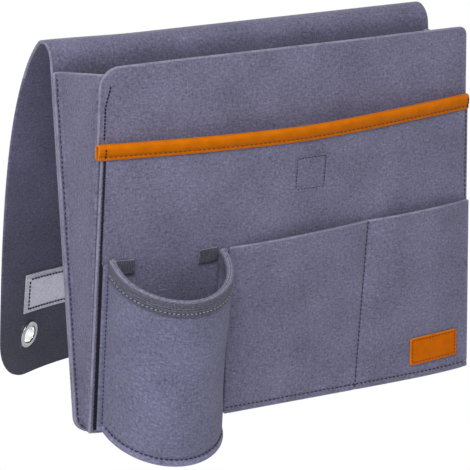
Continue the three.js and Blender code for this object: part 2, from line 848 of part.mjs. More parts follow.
add("bottle_holder_wall", holderWall(), soft(feltColour));
add("bottle_holder_base", holderBase(), soft(feltColour));
add("bottle_holder_base_thread", holderBaseThread(), soft(threadColour));
add("bottle_holder_binding", holderBinding(), soft(tapeColour));
add("bottle_holder_binding_thread", bindingThread(), soft(threadColour));
add("binding_tab_left", bindingTab(-1), soft(tapeColour));
add("binding_tab_right", bindingTab(1), soft(tapeColour));
add("hanging_flap", flap(), soft(feltColour));
add("flap_fastening_strip", flapStrip(), soft(stripColour));
add("flap_strip_thread", flapStripThread(), soft(threadColour));

for (const [name, hand] of [["left", -1], ["right", 1]]) {
  const ring = eyelet().applyMatrix4(eyeletPlace(hand));
  const washer = eyeletWasher().applyMatrix4(eyeletPlace(hand));
  add(`eyelet_${name}`, ring, steel());
  add(`eyelet_washer_${name}`, washer, steel());
}

export default caddy;
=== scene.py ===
"""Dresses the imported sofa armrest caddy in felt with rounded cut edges, sewn seams, leather, tape and metal.

Sizes are in millimetres above the front panel's lower edge, as in the part's source, and become metres in
the row frame when a mesh is made.
"""
import math

import bmesh
import bpy
import numpy as np
from mathutils import Matrix, Vector


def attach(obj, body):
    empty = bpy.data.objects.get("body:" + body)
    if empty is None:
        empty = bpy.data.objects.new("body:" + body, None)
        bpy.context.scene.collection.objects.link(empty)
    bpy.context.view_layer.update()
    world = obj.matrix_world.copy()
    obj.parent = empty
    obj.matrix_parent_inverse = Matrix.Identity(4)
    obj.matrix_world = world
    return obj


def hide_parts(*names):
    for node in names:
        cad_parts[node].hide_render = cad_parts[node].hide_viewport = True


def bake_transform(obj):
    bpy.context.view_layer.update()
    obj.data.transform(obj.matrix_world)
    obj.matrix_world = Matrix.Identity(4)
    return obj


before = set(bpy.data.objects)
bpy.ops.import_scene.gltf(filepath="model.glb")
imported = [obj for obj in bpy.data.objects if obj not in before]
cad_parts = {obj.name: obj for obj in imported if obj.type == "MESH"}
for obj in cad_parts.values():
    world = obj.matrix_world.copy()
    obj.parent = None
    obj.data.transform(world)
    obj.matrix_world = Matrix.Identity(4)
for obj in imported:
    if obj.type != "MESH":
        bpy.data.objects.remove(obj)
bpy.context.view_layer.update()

# Stock
FELT = 2.6
LEATHER = 1.2
TAPE = 1.1
HOOK_AND_LOOP = 1.4
GAP = 0.3

# How far the rounded edge of a cut sheet stands out
RIM = 1.1
LEATHER_RIM = 0.35
TAPE_RIM = 0.4
STRIP_RIM = 0.25
CLOSURE_RIM = 0.3
BASE_RIM = 0.7

# Back panel, fold and flap
BACK_WIDTH = 317.5
BACK_CORNER = 12
BACK_DROP = 6.8
REST_HEIGHT = 150
FOLD_RADIUS = 13
FOLD_HEIGHT = 263
FOLD_END_LIFT = 1.8
FLAP_START = math.radians(32)
FLAP_END = math.radians(81.5)
FLAP_EASE = 84
FLAP_LENGTH = 299.5
FLAP_BOW = 70
FLAP_BOW_POWER = 2.4
FLAP_BOW_GROWTH = 1.5
FLAP_CORNER = 36
FLAP_WAVE = 0.5
STRIP_WIDTH = 267
STRIP_HEIGHT = 32
STRIP_FROM_END = 54.5
STRIP_INSET = 3.5
STRIP_BORDER = 2.9
EYELET_BORE = 13
EYELET_WALL = 0.8
EYELET_FLANGE = 22
EYELET_DOME = 1.4
EYELET_LIP = 2.2
WASHER = 0.8
EYELET_FROM_SIDE = 33.5
EYELET_FROM_END = 35

# Front panel, gusset and pockets
FRONT_BOTTOM = 322
FRONT_TOP = 302.5
FRONT_HEIGHT = 267.5
FRONT_CORNERS = (15, 6)
FRONT_SAG = 2.8
FRONT_SAG_POWER = 6
FRONT_SAG_REACH = 60
DEPTH_BOTTOM = 27
DEPTH_TOP = 64.4
RIPPLE_LONG = 0.5
RIPPLE_SHORT = 0.3
RIPPLE_START = 70
GUSSET_FLANGE = 6
GUSSET_BEND = 2.5
GUSSET_TOP = 257.5
GUSSET_RISE = 2.1
GUSSET_SEAM = 2.5
POCKET_HEIGHT = 214.2
POCKET_TILT = 2.9
POCKET_GAPE = 12
POCKET_SAG = 3.6
POCKET_INSET = 1.2
PEAK = 0.1 ** 2
PEAK_POWER = 0.7
TRIM_HEIGHT = 9.3
TRIM_OVERHANGS = (3.2, -0.6)
TRIM_INSET = 2
TRIM_BULGE = 0.7
SIDE_SEAM = 3.2
PANEL_SEAM_INSET = 2.0
PANEL_SEAM_LEAN = 3.5
CLOSURE = 25
CLOSURE_LEFT = 0.5
CLOSURE_BOTTOM = 162.9
CLOSURE_INSET = 0.6
PHONE_LEFT = -52.3
PHONE_LOW = 127
PHONE_HIGH = 135.2
PHONE_DIVIDER_FOOT = 60
PHONE_DIVIDER_LEAN = 5
PHONE_GAPE = 7
PHONE_CROWN = 1.8
PHONE_SEAM = 6
HEM = 4.5
LABEL_WIDTH = 41
LABEL_HEIGHT = 20.3
LABEL_RIGHT = FRONT_BOTTOM / 2 - 12.6
LABEL_BOTTOM = 12.2
LABEL_TILT = math.radians(2.5)
LABEL_INSET = 1.6
LABEL_CORNER = 1.2

# Bottle holder
HOLDER_FROM_SEAM = 2.9
HOLDER_WIDTH = 87
HOLDER_SIDE = 1
HOLDER_FLANGE = 2.2
HOLDER_BEND = 2.5
HOLDER_RIM = 128
HOLDER_RIM_SLOPE = 0.44
HOLDER_BOTTOM = 3
HOLDER_BOTTOM_SLOPE = 0.335
HOLDER_HEM = 5
HOLDER_STITCH = 5.1
HOLDER_FLARE = 1.1
BASE_CLEARANCE = 0.8
BASE_SAG = 0.8
BINDING_HEIGHT = 9.7
BINDING_INSET = 2
# Heights on the binding's front leg where its tape is painted dark, as shade along the stitch line
BINDING_SHADE_BAND = (1.5, 2.5)
BINDING_END_RISE = 3.5
BINDING_END_REACH = 14
TAB_LENGTH = 15
TAB_HEIGHT = 9.5
TAB_LIFT = 1.6

# Grooves that the seams draw in: depth and width
PANEL_GROOVE = (0.45, 1.4)
SEAM_GROOVE = (0.6, 1.5)
HEM_GROOVE = (0.5, 1.4)
CLOSURE_GROOVE = (0.5, 1.1)
GUSSET_GROOVE = (0.4, 1.0)
TRIM_GROOVE = (0.5, 0.55)
DIVIDER_GROOVE = (0.9, 1.7)
PHONE_HEM_GROOVE = (0.7, 1.5)
PHONE_SIDE_GROOVE = (0.35, 1.3)
LABEL_GROOVE = (0.4, 0.5)
HOLDER_GROOVE = (0.8, 1.6)
BINDING_GROOVE = (0.4, 0.6)

LEAN = math.asin((DEPTH_TOP - DEPTH_BOTTOM) / FRONT_HEIGHT)


# Numbers
def metres(points):
    return (np.asarray(points, float).reshape(-1, 3) - (0, 0, REST_HEIGHT)) / 1000


def unit(vectors):
    return vectors / np.maximum(np.linalg.norm(vectors, axis=-1, keepdims=True), 1e-12)


def stack(x, y, z):
    return np.stack(np.broadcast_arrays(x, y, z), -1).astype(float)


def smooth(t):
    t = np.clip(t, 0, 1)
    return t * t * (3 - 2 * t)


def groove(distance, depth, width):
    return -depth * np.exp(-(distance / width) ** 2)


def walk_along(path):
    """The length walked at each point of a path."""
    return np.concatenate([[0], np.cumsum(np.linalg.norm(np.diff(path, axis=0), axis=1))])


def corner_cut(radius, from_side):
    inside = np.maximum(radius - from_side, 0)
    return radius - np.sqrt(np.maximum(radius ** 2 - inside ** 2, 0))


def frame_path(left, right, bottom, top):
    return [(left, bottom), (right, bottom), (right, top), (left, top), (left, bottom)]


def refined(values, places, reach):
    """The values with finer ones added round each place."""
    extra = [p + d for p in places for d in np.array([-1, -0.55, -0.25, 0, 0.25, 0.55, 1]) * reach]
    kept = [w for w in values if all(abs(w - p) > reach * 1.05 for p in places)]
    return np.unique(np.round(np.concatenate([kept, extra]), 5))


def grid(rows, columns):
    return np.asarray(rows, float)[:, None], np.asarray(columns, float)[None, :]


def edged_line(edge, start, size, count):
    """Places across a size: the given ones at both edges, and even ones between, from start."""
    return np.concatenate([edge, np.linspace(start, size - start, count), size - edge[::-1]])


def patch(edge, start, height, rows, width, columns):
    """Places over a rectangle, closer at its edges, and how far in each is from the nearest edge."""
    r, c = grid(edged_line(edge, start, height, rows), edged_line(edge, start, width, columns))
    return r, c, np.minimum(np.minimum(r, height - r), np.minimum(c, width - c))


def uv_of(a, b):
    """Places on a sheet, in centimetres."""
    a, b = np.broadcast_arrays(a, b)
    return np.stack([a / 10, b / 10], -1)


def track(start, heading, moves):
    """Stations along straight runs and bends in a plane: rows of place and right-hand normal."""
    a, b = start
    angle = heading
    rows = [(a, b, math.sin(angle), -math.cos(angle))]
    for length, radius, turn, count in moves:
        bend = turn / count
        stride = 2 * radius * math.sin(abs(bend) / 2) if turn else length / count
        for _ in range(count):
            angle += bend / 2
            a += stride * math.cos(angle)
            b += stride * math.sin(angle)
            angle += bend / 2
            rows.append((a, b, math.sin(angle), -math.cos(angle)))
    return np.array(rows)


# Meshes
EDGE_ANGLES = np.radians((-62, -25, 25, 62))
STITCH_SIDES = 6
STITCH_SHARES = np.array([-0.5, -0.34, -0.12, 0.12, 0.34, 0.5])
STITCH_LIFTS = np.array([-1.1, 0.15, 0.6, 0.6, 0.15, -1.1])
STITCH_SIZES = np.array([0.5, 0.9, 1.0, 1.0, 0.9, 0.5])
STITCH_FLATNESS = 0.8
RING_SEGMENTS = 72


def bands(rings):
    """The faces between rings of point numbers, each ring with the next."""
    faces = []
    for a, b in zip(rings, rings[1:]):
        faces += zip(a, np.roll(a, -1), np.roll(b, -1), b)
    return faces


def flipped(faces):
    return [tuple(reversed(face)) for face in faces]


def around(at, r0, r1, c0, c1):
    """What a grid holds round the edge of a block of its cells."""
    return np.concatenate([at[r0, c0:c1], at[r0:r1, c1], at[r1, c1:c0:-1], at[r1:r0:-1, c0]])


def mesh_object(name, points, faces, materials):
    """An object in the scene, from points in metres."""
    mesh = bpy.data.meshes.new(name)
    mesh.from_pydata(np.asarray(points).tolist(), [], [list(map(int, face)) for face in faces])
    for material in materials:
        mesh.materials.append(material)
    obj = bpy.data.objects.new(name, mesh)
    bpy.context.scene.collection.objects.link(obj)
    return obj


def solid(name, points, faces, materials, slots=None, uv=None):
    """A smooth closed mesh that faces out; slots gives each face's material and uv each point's place."""
    points = metres(points)
    volume = 0.0
    for face in faces:
        corner = points[face[0]]
        for b, c in zip(face[1:-1], face[2:]):
            volume += float(np.dot(corner, np.cross(points[b], points[c])))
    obj = mesh_object(name, points, flipped(faces) if volume < 0 else faces, materials)
    mesh = obj.data
    mesh.shade_smooth()
    if slots is not None:
        mesh.polygons.foreach_set("material_index", np.asarray(slots, np.int32))
    if uv is not None:
        corners = np.zeros(len(mesh.loops), np.int32)
        mesh.loops.foreach_get("vertex_index", corners)
        layer = mesh.uv_layers.new(name="sheet")
        layer.uv.foreach_set("vector", np.asarray(uv, np.float32)[corners].ravel())
    mesh.update()
    return obj


def sheet(name, inner, outer, uv, materials, rim, holes=(), plain=None, outer_slot=0):
    """A closed sheet between two grids of points. Its cut edge is rounded, stands out by rim and has the last
    material. Each hole is a block of cells (row, row, column, column) with the two rings of points that its
    edges are drawn in to. plain(row, column) says where the cut edge has the outer face's material instead,
    which is outer_slot."""
    rows, columns = inner.shape[:2]
    count = rows * columns
    at = np.arange(count).reshape(rows, columns)
    low, high, uv = inner.reshape(-1, 3), outer.reshape(-1, 3), uv.reshape(-1, 2)
    middle, half = (low + high) / 2, (high - low) / 2
    points, places = [low, high], [uv, uv]

    def add_ring(ring, like):
        """Adds points with the places of others, and gives their numbers."""
        first = sum(map(len, points))
        points.append(ring)
        places.append(uv[like])
        return np.arange(first, first + len(ring))

    loop = around(at, 0, rows - 1, 0, columns - 1)
    row, column = np.divmod(loop, columns)
    within = at[np.clip(row, 1, rows - 2), np.clip(column, 1, columns - 2)]
    along = middle[np.roll(loop, -1)] - middle[np.roll(loop, 1)]
    away = unit(np.cross(along, half[loop]))
    if np.sum(away * (middle[loop] - middle[within])) < 0:
        away = -away
    rings = [loop]
    for angle in EDGE_ANGLES:
        bulge = half[loop] * math.sin(angle) + away * rim * math.cos(angle)
        rings.append(add_ring(middle[loop] + bulge, loop))
    border = bands([*rings, loop + count])
    step = middle[loop[1]] - middle[loop[0]]
    if np.dot(np.cross(step, half[loop[0]]), away[0]) < 0:
        border = flipped(border)

    kept = np.ones((rows - 1, columns - 1), bool)
    tunnels = []
    for *block, below, above in holes:
        r0, r1, c0, c1 = block
        kept[r0:r1, c0:c1] = False
        edge = around(at, *block)
        tunnels += bands([edge, add_ring(below, edge), add_ring(above, edge), edge + count])

    cells = []
    for i, j in zip(*np.nonzero(kept)):
        a, b, c, d = at[i, j], at[i, j + 1], at[i + 1, j + 1], at[i + 1, j]
        cells += [(a + count, b + count, c + count, d + count), (d, c, b, a)]
    across, up = high[at[0, 1]] - high[at[0, 0]], high[at[1, 0]] - high[at[0, 0]]
    if np.dot(np.cross(across, up), half[0]) < 0:
        cells = flipped(cells)

    edge_slots = np.full(len(loop), len(materials) - 1)
    if plain is not None:
        edge_slots[plain(row, column)] = outer_slot
    slots = [0] * len(tunnels) + [outer_slot, 0] * (len(cells) // 2) + edge_slots.tolist() * len(rings)
    faces = tunnels + cells + border
    obj = solid(name, np.concatenate(points), faces, materials, slots, np.concatenate(places))
    if holes:
        clean_normals(obj)
    return obj


def set_cells(obj, chosen, slot, faces=(0,)):
    """Gives chosen cells of a sheet without holes another slot; face 0 of a cell is its outer one."""
    for cell in np.flatnonzero(chosen):
        for face in faces:
            obj.data.polygons[2 * int(cell) + face].material_index = slot


def clean_normals(obj):
    """Turns all the faces of a closed mesh the same way, outwards."""
    work = bmesh.new()
    work.from_mesh(obj.data)
    bmesh.ops.recalc_face_normals(work, faces=work.faces)
    work.to_mesh(obj.data)
    work.free()


def turned(name, outline, matrix, materials, slots=0):
    """A ring turned about its own Z from a closed outline of radius and height, in millimetres; slots gives
    the material of the band that starts at each place of the outline."""
    outline = np.asarray(outline, float)
    turn = np.arange(RING_SEGMENTS) * 2 * math.pi / RING_SEGMENTS
    radius, height = outline[:, :1], outline[:, 1:]
    points = stack(radius * np.cos(turn), radius * np.sin(turn), height).reshape(-1, 3)
    points = points @ np.array(matrix.to_3x3()).T + np.array(matrix.translation)
    rings = list(np.arange(len(points)).reshape(len(outline), RING_SEGMENTS))
    slots = np.repeat(np.broadcast_to(slots, len(outline)), RING_SEGMENTS)
    return solid(name, points, bands([*rings, rings[0]]), materials, slots)


def finish_piece(obj, slot, body, *nodes):
    """Hides the CAD nodes that a piece stands for and hangs it on what it rides on; slot is not used."""
    if nodes:
        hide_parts(*nodes)
    if body:
        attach(obj, body)
    return obj


def sew(name, path, place, row, *nodes, body="caddy"):
    """A row of stitches along a path on a face. place(a, b, lift) gives points above the face, and row is
    one of the rows below. Each stitch is a short bead of thread that dips into the face at both ends."""
    thread, pitch, length, radius, sink = row
    path = np.asarray(path, float)
    run = walk_along(path)
    count = max(int((run[-1] - length) // pitch) + 1, 1)
    start = (run[-1] - (count - 1) * pitch) / 2
    t = start + np.arange(count)[:, None] * pitch + length * STITCH_SHARES
    a, b = np.interp(t, run, path[:, 0]), np.interp(t, run, path[:, 1])
    base = place(a, b, -sink)
    normal = unit(place(a, b, 0.5 - sink) - base)
    side = unit(np.cross(normal, unit(np.gradient(base, axis=1))))
    turn = np.arange(STITCH_SIDES)[:, None] * 2 * math.pi / STITCH_SIDES
    spine = base + normal * (radius * STITCH_LIFTS)[:, None]
    circle = normal[:, :, None] * np.sin(turn) * STITCH_FLATNESS + side[:, :, None] * np.cos(turn)
    points = spine[:, :, None] + (radius * STITCH_SIZES)[:, None, None] * circle
    faces = []
    for bead in np.arange(points[..., 0].size).reshape(points.shape[:3]):
        faces += bands(list(bead)) + [tuple(bead[0][::-1]), tuple(bead[-1])]
    return finish_piece(solid(name, points, faces, [thread]), "thread", body, *nodes)


def folded_strip(height, leg, bend, thickness, leg_swell, bend_swell, place):
    """The two grids of a strip folded over an edge of felt: up the front leg, round the bend and down the
    rear leg. The swells thicken it, and place(up, out) gives a row above the edge and out from mid felt."""
    inside = FELT / 2 + GAP
    stations = [(d - height, 0.0, 1.0, leg_swell(d)) for d in leg]
    stations += [(GAP - inside, math.sin(a), math.cos(a), bend_swell(a)) for a in bend]
    stations += [(d - height, 0.0, -1.0, 0.0) for d in leg[::-1]]
    grids = []
    for outward in (0, 1):
        rows = []
        for up, sine, cosine, swell in stations:
            reach = inside + outward * (thickness + swell)
            rows.append(place(up + reach * sine, reach * cosine))
        grids.append(np.array(rows))
    return grids


# The leaning front
def front_half(v):
    return (FRONT_BOTTOM + (FRONT_TOP - FRONT_BOTTOM) * v / FRONT_HEIGHT) / 2


def front_sag(x, v):
    """How far the middle of the front's lower edge hangs below its corners, less and less higher up."""
    across = 1 - np.minimum(np.abs(2 * x / FRONT_BOTTOM), 1) ** FRONT_SAG_POWER
    return FRONT_SAG * across * (1 - np.clip(v / FRONT_SAG_REACH, 0, 1)) ** 2


def pocket_half(v):
    """The pocket draws in a little from the front panel's sides towards its mouth."""
    return front_half(v) - POCKET_INSET * v / POCKET_HEIGHT


def ripple(x, v):
    """A slight wave of the felt that all the layers of the front share, none at the sides and bottom."""
    window = np.clip(1 - (x / front_half(v)) ** 2, 0, 1) * smooth(v / RIPPLE_START)
    long_wave = RIPPLE_LONG * np.sin(x / 33 + 0.6) * np.sin(v / 41 + 1.1)
    return window * (long_wave + RIPPLE_SHORT * np.sin(x / 19 - v / 31))


def front(x, n, v):
    """A point of the front at x and v, and n out from the front panel's rear face."""
    n = n + ripple(x, v)
    v = v - front_sag(x, v)
    y = -DEPTH_BOTTOM - v * math.sin(LEAN) - n * math.cos(LEAN)
    return stack(x, y, v * math.cos(LEAN) - n * math.sin(LEAN))


def gape_across(x, v):
    def rise(u):
        return (u * u + PEAK) ** PEAK_POWER - PEAK ** PEAK_POWER
    return 1 - rise(x / front_half(v)) / rise(1)


def pocket_lift(x, v):
    gape = POCKET_GAPE * (v / POCKET_HEIGHT) ** 2 * gape_across(x, v)
    return gape + (LEATHER + GAP) * v / (POCKET_HEIGHT - TRIM_HEIGHT)


def pocket_top(x):
    tilt = POCKET_TILT * x / FRONT_TOP
    return POCKET_HEIGHT + tilt - POCKET_SAG * gape_across(x, POCKET_HEIGHT)


def pocket_rear(x, v):
    return FELT + GAP + pocket_lift(x, v)


def pocket_face(x, v):
    return pocket_rear(x, v) + FELT


def phone_divider(v):
    return PHONE_DIVIDER_FOOT + PHONE_DIVIDER_LEAN * v / PHONE_HIGH


def phone_bay(x, v):
    """Nought at the seams of the two phone pockets and one in the middle of each."""
    divider = phone_divider(v)
    right = x > divider
    start = np.where(right, divider, PHONE_LEFT + PHONE_SEAM)
    end = np.where(right, pocket_half(v) - PHONE_SEAM, divider)
    t = np.clip((x - start) / (end - start), 0, 1)
    return 1 - np.abs(2 * t - 1) ** 3


def phone_top(x):
    share = (x - PHONE_LEFT) / (pocket_half(PHONE_HIGH) - PHONE_LEFT)
    return PHONE_LOW + (PHONE_HIGH - PHONE_LOW) * share + PHONE_CROWN * phone_bay(x, PHONE_HIGH)


def phone_face(x, v):
    lift = PHONE_GAPE * (v / phone_top(x)) ** 1.5 * phone_bay(x, v)
    return pocket_face(x, v) + GAP + lift + FELT


def on_panel(x, v, lift):
    return front(x, FELT + lift, v)


def on_pocket(x, v, lift):
    return front(x, pocket_face(x, v) + lift, v)


def on_phone(x, v, lift):
    return front(x, phone_face(x, v) + lift, v)


# The sling: back panel, fold and flap as one sheet; s runs up the back, over the fold and down the flap
BACK_RUN = FOLD_HEIGHT + BACK_DROP
FOLD_RUN = FOLD_RADIUS * (math.pi / 2 + FLAP_START)
FLAP_RUN = BACK_RUN + FOLD_RUN
PROFILE_STEP = 0.5
PROFILE_SPARE = 12  # run past the flap's end


def sling_profile():
    """The middle line of the sheet, as its run with y and z there."""
    s = np.arange(0, FLAP_RUN + FLAP_LENGTH + PROFILE_SPARE, PROFILE_STEP)
    fold = -math.pi / 2 + np.maximum(s - BACK_RUN, 0) / FOLD_RADIUS
    easing = np.exp(-np.maximum(s - FLAP_RUN, 0) / FLAP_EASE)
    slope = np.where(s < FLAP_RUN, fold, FLAP_END - (FLAP_END - FLAP_START) * easing)
    middle = (slope[1:] + slope[:-1]) / 2
    y = np.concatenate([[0], np.cumsum(PROFILE_STEP * np.cos(middle))]) - FELT / 2
    z = np.concatenate([[0], np.cumsum(-PROFILE_STEP * np.sin(middle))]) - BACK_DROP
    return s, y, z


SLING_S, SLING_Y, SLING_Z = sling_profile()


def sling_middle(x, s):
    down = np.maximum(s - FLAP_RUN, 0) / FLAP_LENGTH
    across = 1 - np.abs(2 * x / BACK_WIDTH) ** FLAP_BOW_POWER
    bow = FLAP_BOW * down ** FLAP_BOW_GROWTH * across
    near_fold = smooth((s - BACK_RUN + 15) / 25) * smooth((FLAP_RUN + 60 - s) / 60)
    lift = FOLD_END_LIFT * near_fold * smooth((-x - 80) / 80)
    return stack(x, np.interp(s, SLING_S, SLING_Y) + bow, np.interp(s, SLING_S, SLING_Z) + lift)


def sling_normal(x, s):
    across = sling_middle(x + 1, s) - sling_middle(x - 1, s)
    down = sling_middle(x, s + 1) - sling_middle(x, s - 1)
    return unit(np.cross(down, across))


def sling(x, s, offset):
    return sling_middle(x, s) + sling_normal(x, s) * np.asarray(offset, float)[..., None]


def flap(x, s, offset):
    return sling(x, FLAP_RUN + np.asarray(s, float), np.broadcast_to(offset, np.broadcast(x, s).shape))


# Nodes of materials
def node(tree, kind, inputs=None, **settings):
    made = tree.nodes.new(kind)
    for key, value in settings.items():
        setattr(made, key, value)
    for key, value in (inputs or {}).items():
        if isinstance(value, bpy.types.NodeSocket):
            tree.links.new(value, made.inputs[key])
        else:
            made.inputs[key].default_value = value
    return made


def math_node(tree, operation, a, b=0.0):
    return node(tree, "ShaderNodeMath", {0: a, 1: b}, operation=operation).outputs[0]


def sheet_place(tree):
    return node(tree, "ShaderNodeUVMap", uv_map="sheet").outputs["UV"]


def object_place(tree):
    return node(tree, "ShaderNodeTexCoord").outputs["Object"]


def noise(tree, vector, scale, detail=3.0, roughness=0.6, distortion=0.0):
    inputs = {"Vector": vector, "Scale": scale, "Detail": detail}
    inputs |= {"Roughness": roughness, "Distortion": distortion}
    return node(tree, "ShaderNodeTexNoise", inputs).outputs["Fac"]


def wave(tree, vector, scale, distortion, direction):
    inputs = {"Vector": vector, "Scale": scale, "Distortion": distortion, "Detail": 1.0}
    return node(tree, "ShaderNodeTexWave", inputs, bands_direction=direction).outputs["Fac"]


def cell_distance(tree, vector, scale):
    return node(tree, "ShaderNodeTexVoronoi", {"Vector": vector, "Scale": scale}).outputs["Distance"]


def mapped(tree, vector, scale, turn=0.0):
    made = node(tree, "ShaderNodeMapping", {"Vector": vector, "Rotation": (0, 0, turn), "Scale": scale})
    return made.outputs["Vector"]


def mixed(tree, *parts):
    """0.5 plus each (value, weight), the value taken as its distance from 0.5."""
    total = 0.5
    for value, weight in parts:
        offset = math_node(tree, "MULTIPLY", math_node(tree, "SUBTRACT", value, 0.5), weight)
        total = math_node(tree, "ADD", offset, total)
    return total


def ramp(tree, value, stops):
    made = node(tree, "ShaderNodeValToRGB", {"Fac": value})
    elements = made.color_ramp.elements
    while len(elements) < len(stops):
        elements.new(0.5)
    for element, (place, colour) in zip(elements, stops):
        element.position = place
        element.color = (*colour, 1)
    return made.outputs["Color"]


def shade(colour, factor):
    return tuple(min(c * factor, 1.0) for c in colour)


def tones(tree, value, colour, *stops):
    """A colour that goes from dark to light with a value; each stop is a place and a share of the colour."""
    return ramp(tree, value, [(place, shade(colour, share)) for place, share in stops])


def linear(red, green, blue):
    """A display colour, 0 to 255, as the linear colour that a shader takes."""
    values = [c / 255 for c in (red, green, blue)]
    return tuple(c / 12.92 if c <= 0.04045 else ((c + 0.055) / 1.055) ** 2.4 for c in values)


def spread(tree, value, low, high):
    made = node(tree, "ShaderNodeMapRange", {"Value": value, "To Min": low, "To Max": high})
    return made.outputs["Result"]


def along_sheet(tree, place, tint, fall):
    """The colour times a share that goes from one to another along a sheet: (start, end, share, share)."""
    if fall is None:
        return tint
    start, end, first, last = fall
    limits = {"From Min": start / 10, "From Max": end / 10, "To Min": first, "To Max": last}
    along = node(tree, "ShaderNodeSeparateXYZ", {"Vector": place}).outputs["Y"]
    depth = node(tree, "ShaderNodeMapRange", {"Value": along, **limits}, interpolation_type="SMOOTHSTEP")
    inputs = {0: tint, "Scale": depth.outputs["Result"]}
    return node(tree, "ShaderNodeVectorMath", inputs, operation="SCALE").outputs["Vector"]


def new_material(name):
    material = bpy.data.materials.new(name)
    material.use_nodes = True
    tree = material.node_tree
    return material, tree, tree.nodes["Principled BSDF"]


def finish_surface(tree, shader, tint, rough, relief, settings):
    """Gives a shader its colour, roughness (value, low, high), relief (height, strength, distance in metres)
    and the settings that are the same all over."""
    height, strength, distance = relief
    raised = node(tree, "ShaderNodeBump", {"Height": height, "Strength": strength, "Distance": distance})
    tree.links.new(tint, shader.inputs["Base Color"])
    tree.links.new(spread(tree, *rough), shader.inputs["Roughness"])
    tree.links.new(raised.outputs["Normal"], shader.inputs["Normal"])
    for key, value in settings.items():
        shader.inputs[key].default_value = value


# Materials
def felt_material(name, colour, fall=None):
    """Needle felt: a fine melange speckle, slanting fibres and faint clouds, on the sheet's own places."""
    material, tree, shader = new_material(name)
    place = sheet_place(tree)
    grain = noise(tree, place, 5.5, 3.0, 0.65)
    fibre = noise(tree, mapped(tree, place, (2.6, 9.0, 1.0), 0.7), 1.0, 3.0, 0.6, 0.6)
    other = noise(tree, mapped(tree, place, (10.0, 2.4, 1.0), 0.5), 1.0, 2.0, 0.6, 0.8)
    cloud = noise(tree, place, 0.3, 2.0, 0.5)
    tone = mixed(tree, (grain, 1.0), (fibre, 0.7), (other, 0.5), (cloud, 0.35))
    tint = tones(tree, tone, colour, (0.22, 0.54), (0.44, 0.93), (0.56, 1.08), (0.80, 1.62))
    tint = along_sheet(tree, place, tint, fall)
    settings = {"Specular IOR Level": 0.2, "Sheen Weight": 0.12, "Sheen Roughness": 0.6}
    finish_surface(tree, shader, tint, (grain, 0.82, 1.0), (tone, 0.55, 0.0009), settings)
    return material


def felt_edge_material(name, colour):
    """The cut edge of the felt, more fibrous than its faces and paler, partly for its cut fibres and partly as
    a painted highlight along the edge.
    """
    material, tree, shader = new_material(name)
    place = object_place(tree)
    grain = noise(tree, place, 650.0, 3.0, 0.65)
    cloud = noise(tree, place, 90.0, 2.0, 0.5)
    tone = mixed(tree, (grain, 1.0), (cloud, 0.6))
    tint = tones(tree, tone, colour, (0.25, 0.6), (0.5, 1.0), (0.78, 1.35))
    settings = {"Specular IOR Level": 0.2, "Sheen Weight": 0.15}
    finish_surface(tree, shader, tint, (grain, 0.85, 1.0), (grain, 0.6, 0.0006), settings)
    return material


def leather_material(name, colour, gloss, fall=None):
    """Smooth tan leather: faint pores, soft mottling and a light worn polish."""
    material, tree, shader = new_material(name)
    place = sheet_place(tree)
    pores = cell_distance(tree, place, 9.0)
    mottle = noise(tree, place, 1.1, 3.0, 0.55)
    fine = noise(tree, place, 14.0, 3.0, 0.6)
    tone = mixed(tree, (mottle, 0.9), (fine, 0.35))
    tint = tones(tree, tone, colour, (0.25, 0.84), (0.5, 1.0), (0.75, 1.14))
    tint = along_sheet(tree, place, tint, fall)
    relief = mixed(tree, (pores, 0.5), (fine, 0.7))
    settings = {"Specular IOR Level": 0.15, "Specular Tint": (1.0, 0.5, 0.06, 1)}
    finish_surface(tree, shader, tint, (mottle, gloss - 0.07, gloss + 0.1), (relief, 0.18, 0.0004), settings)
    return material


def tape_material(name, colour, highlight, fall=None):
    """Woven binding tape: warp and weft at about a millimetre, some threads paler."""
    material, tree, shader = new_material(name)
    place = sheet_place(tree)
    weave = math_node(tree, "MULTIPLY", wave(tree, place, 3.4, 0.6, "X"), wave(tree, place, 2.6, 0.6, "Y"))
    fleck = noise(tree, mapped(tree, place, (4.0, 9.0, 1.0)), 1.0, 3.0, 0.6)
    tone = mixed(tree, (weave, 0.55), (fleck, 1.2))
    tint = ramp(tree, tone, [(0.18, shade(colour, 0.5)), (0.45, colour), (0.78, highlight)])
    tint = along_sheet(tree, place, tint, fall)
    settings = {"Specular IOR Level": 0.3, "Sheen Weight": 0.1}
    finish_surface(tree, shader, tint, (fleck, 0.6, 0.85), (tone, 0.6, 0.0006), settings)
    return material


def nap_material(name, colour):
    """The napped face of a hook-and-loop tape: tangled pale loops."""
    material, tree, shader = new_material(name)
    place = sheet_place(tree)
    fuzz = noise(tree, place, 9.0, 4.0, 0.7, 1.2)
    tone = mixed(tree, (cell_distance(tree, place, 7.0), 0.5), (fuzz, 1.1))
    tint = tones(tree, tone, colour, (0.2, 0.72), (0.5, 1.0), (0.8, 1.18))
    settings = {"Sheen Weight": 0.8, "Sheen Tint": (0.88, 0.88, 1.0, 1.0)}
    finish_surface(tree, shader, tint, (fuzz, 0.75, 1.0), (tone, 0.7, 0.0008), settings)
    return material


def thread_material(name, colour):
    """Twisted sewing thread: dark and pale turns along each stitch."""
    material, tree, shader = new_material(name)
    place = object_place(tree)
    twist = wave(tree, mapped(tree, place, (1.0, 0.6, 1.3)), 420.0, 1.5, "DIAGONAL")
    fuzz = noise(tree, place, 900.0, 2.0, 0.6)
    tone = mixed(tree, (twist, 0.5), (fuzz, 0.8))
    tint = tones(tree, tone, colour, (0.2, 0.6), (0.5, 1.0), (0.8, 1.7))
    settings = {"Specular IOR Level": 0.2}
    finish_surface(tree, shader, tint, (fuzz, 0.5, 0.75), (twist, 0.4, 0.0002), settings)
    return material


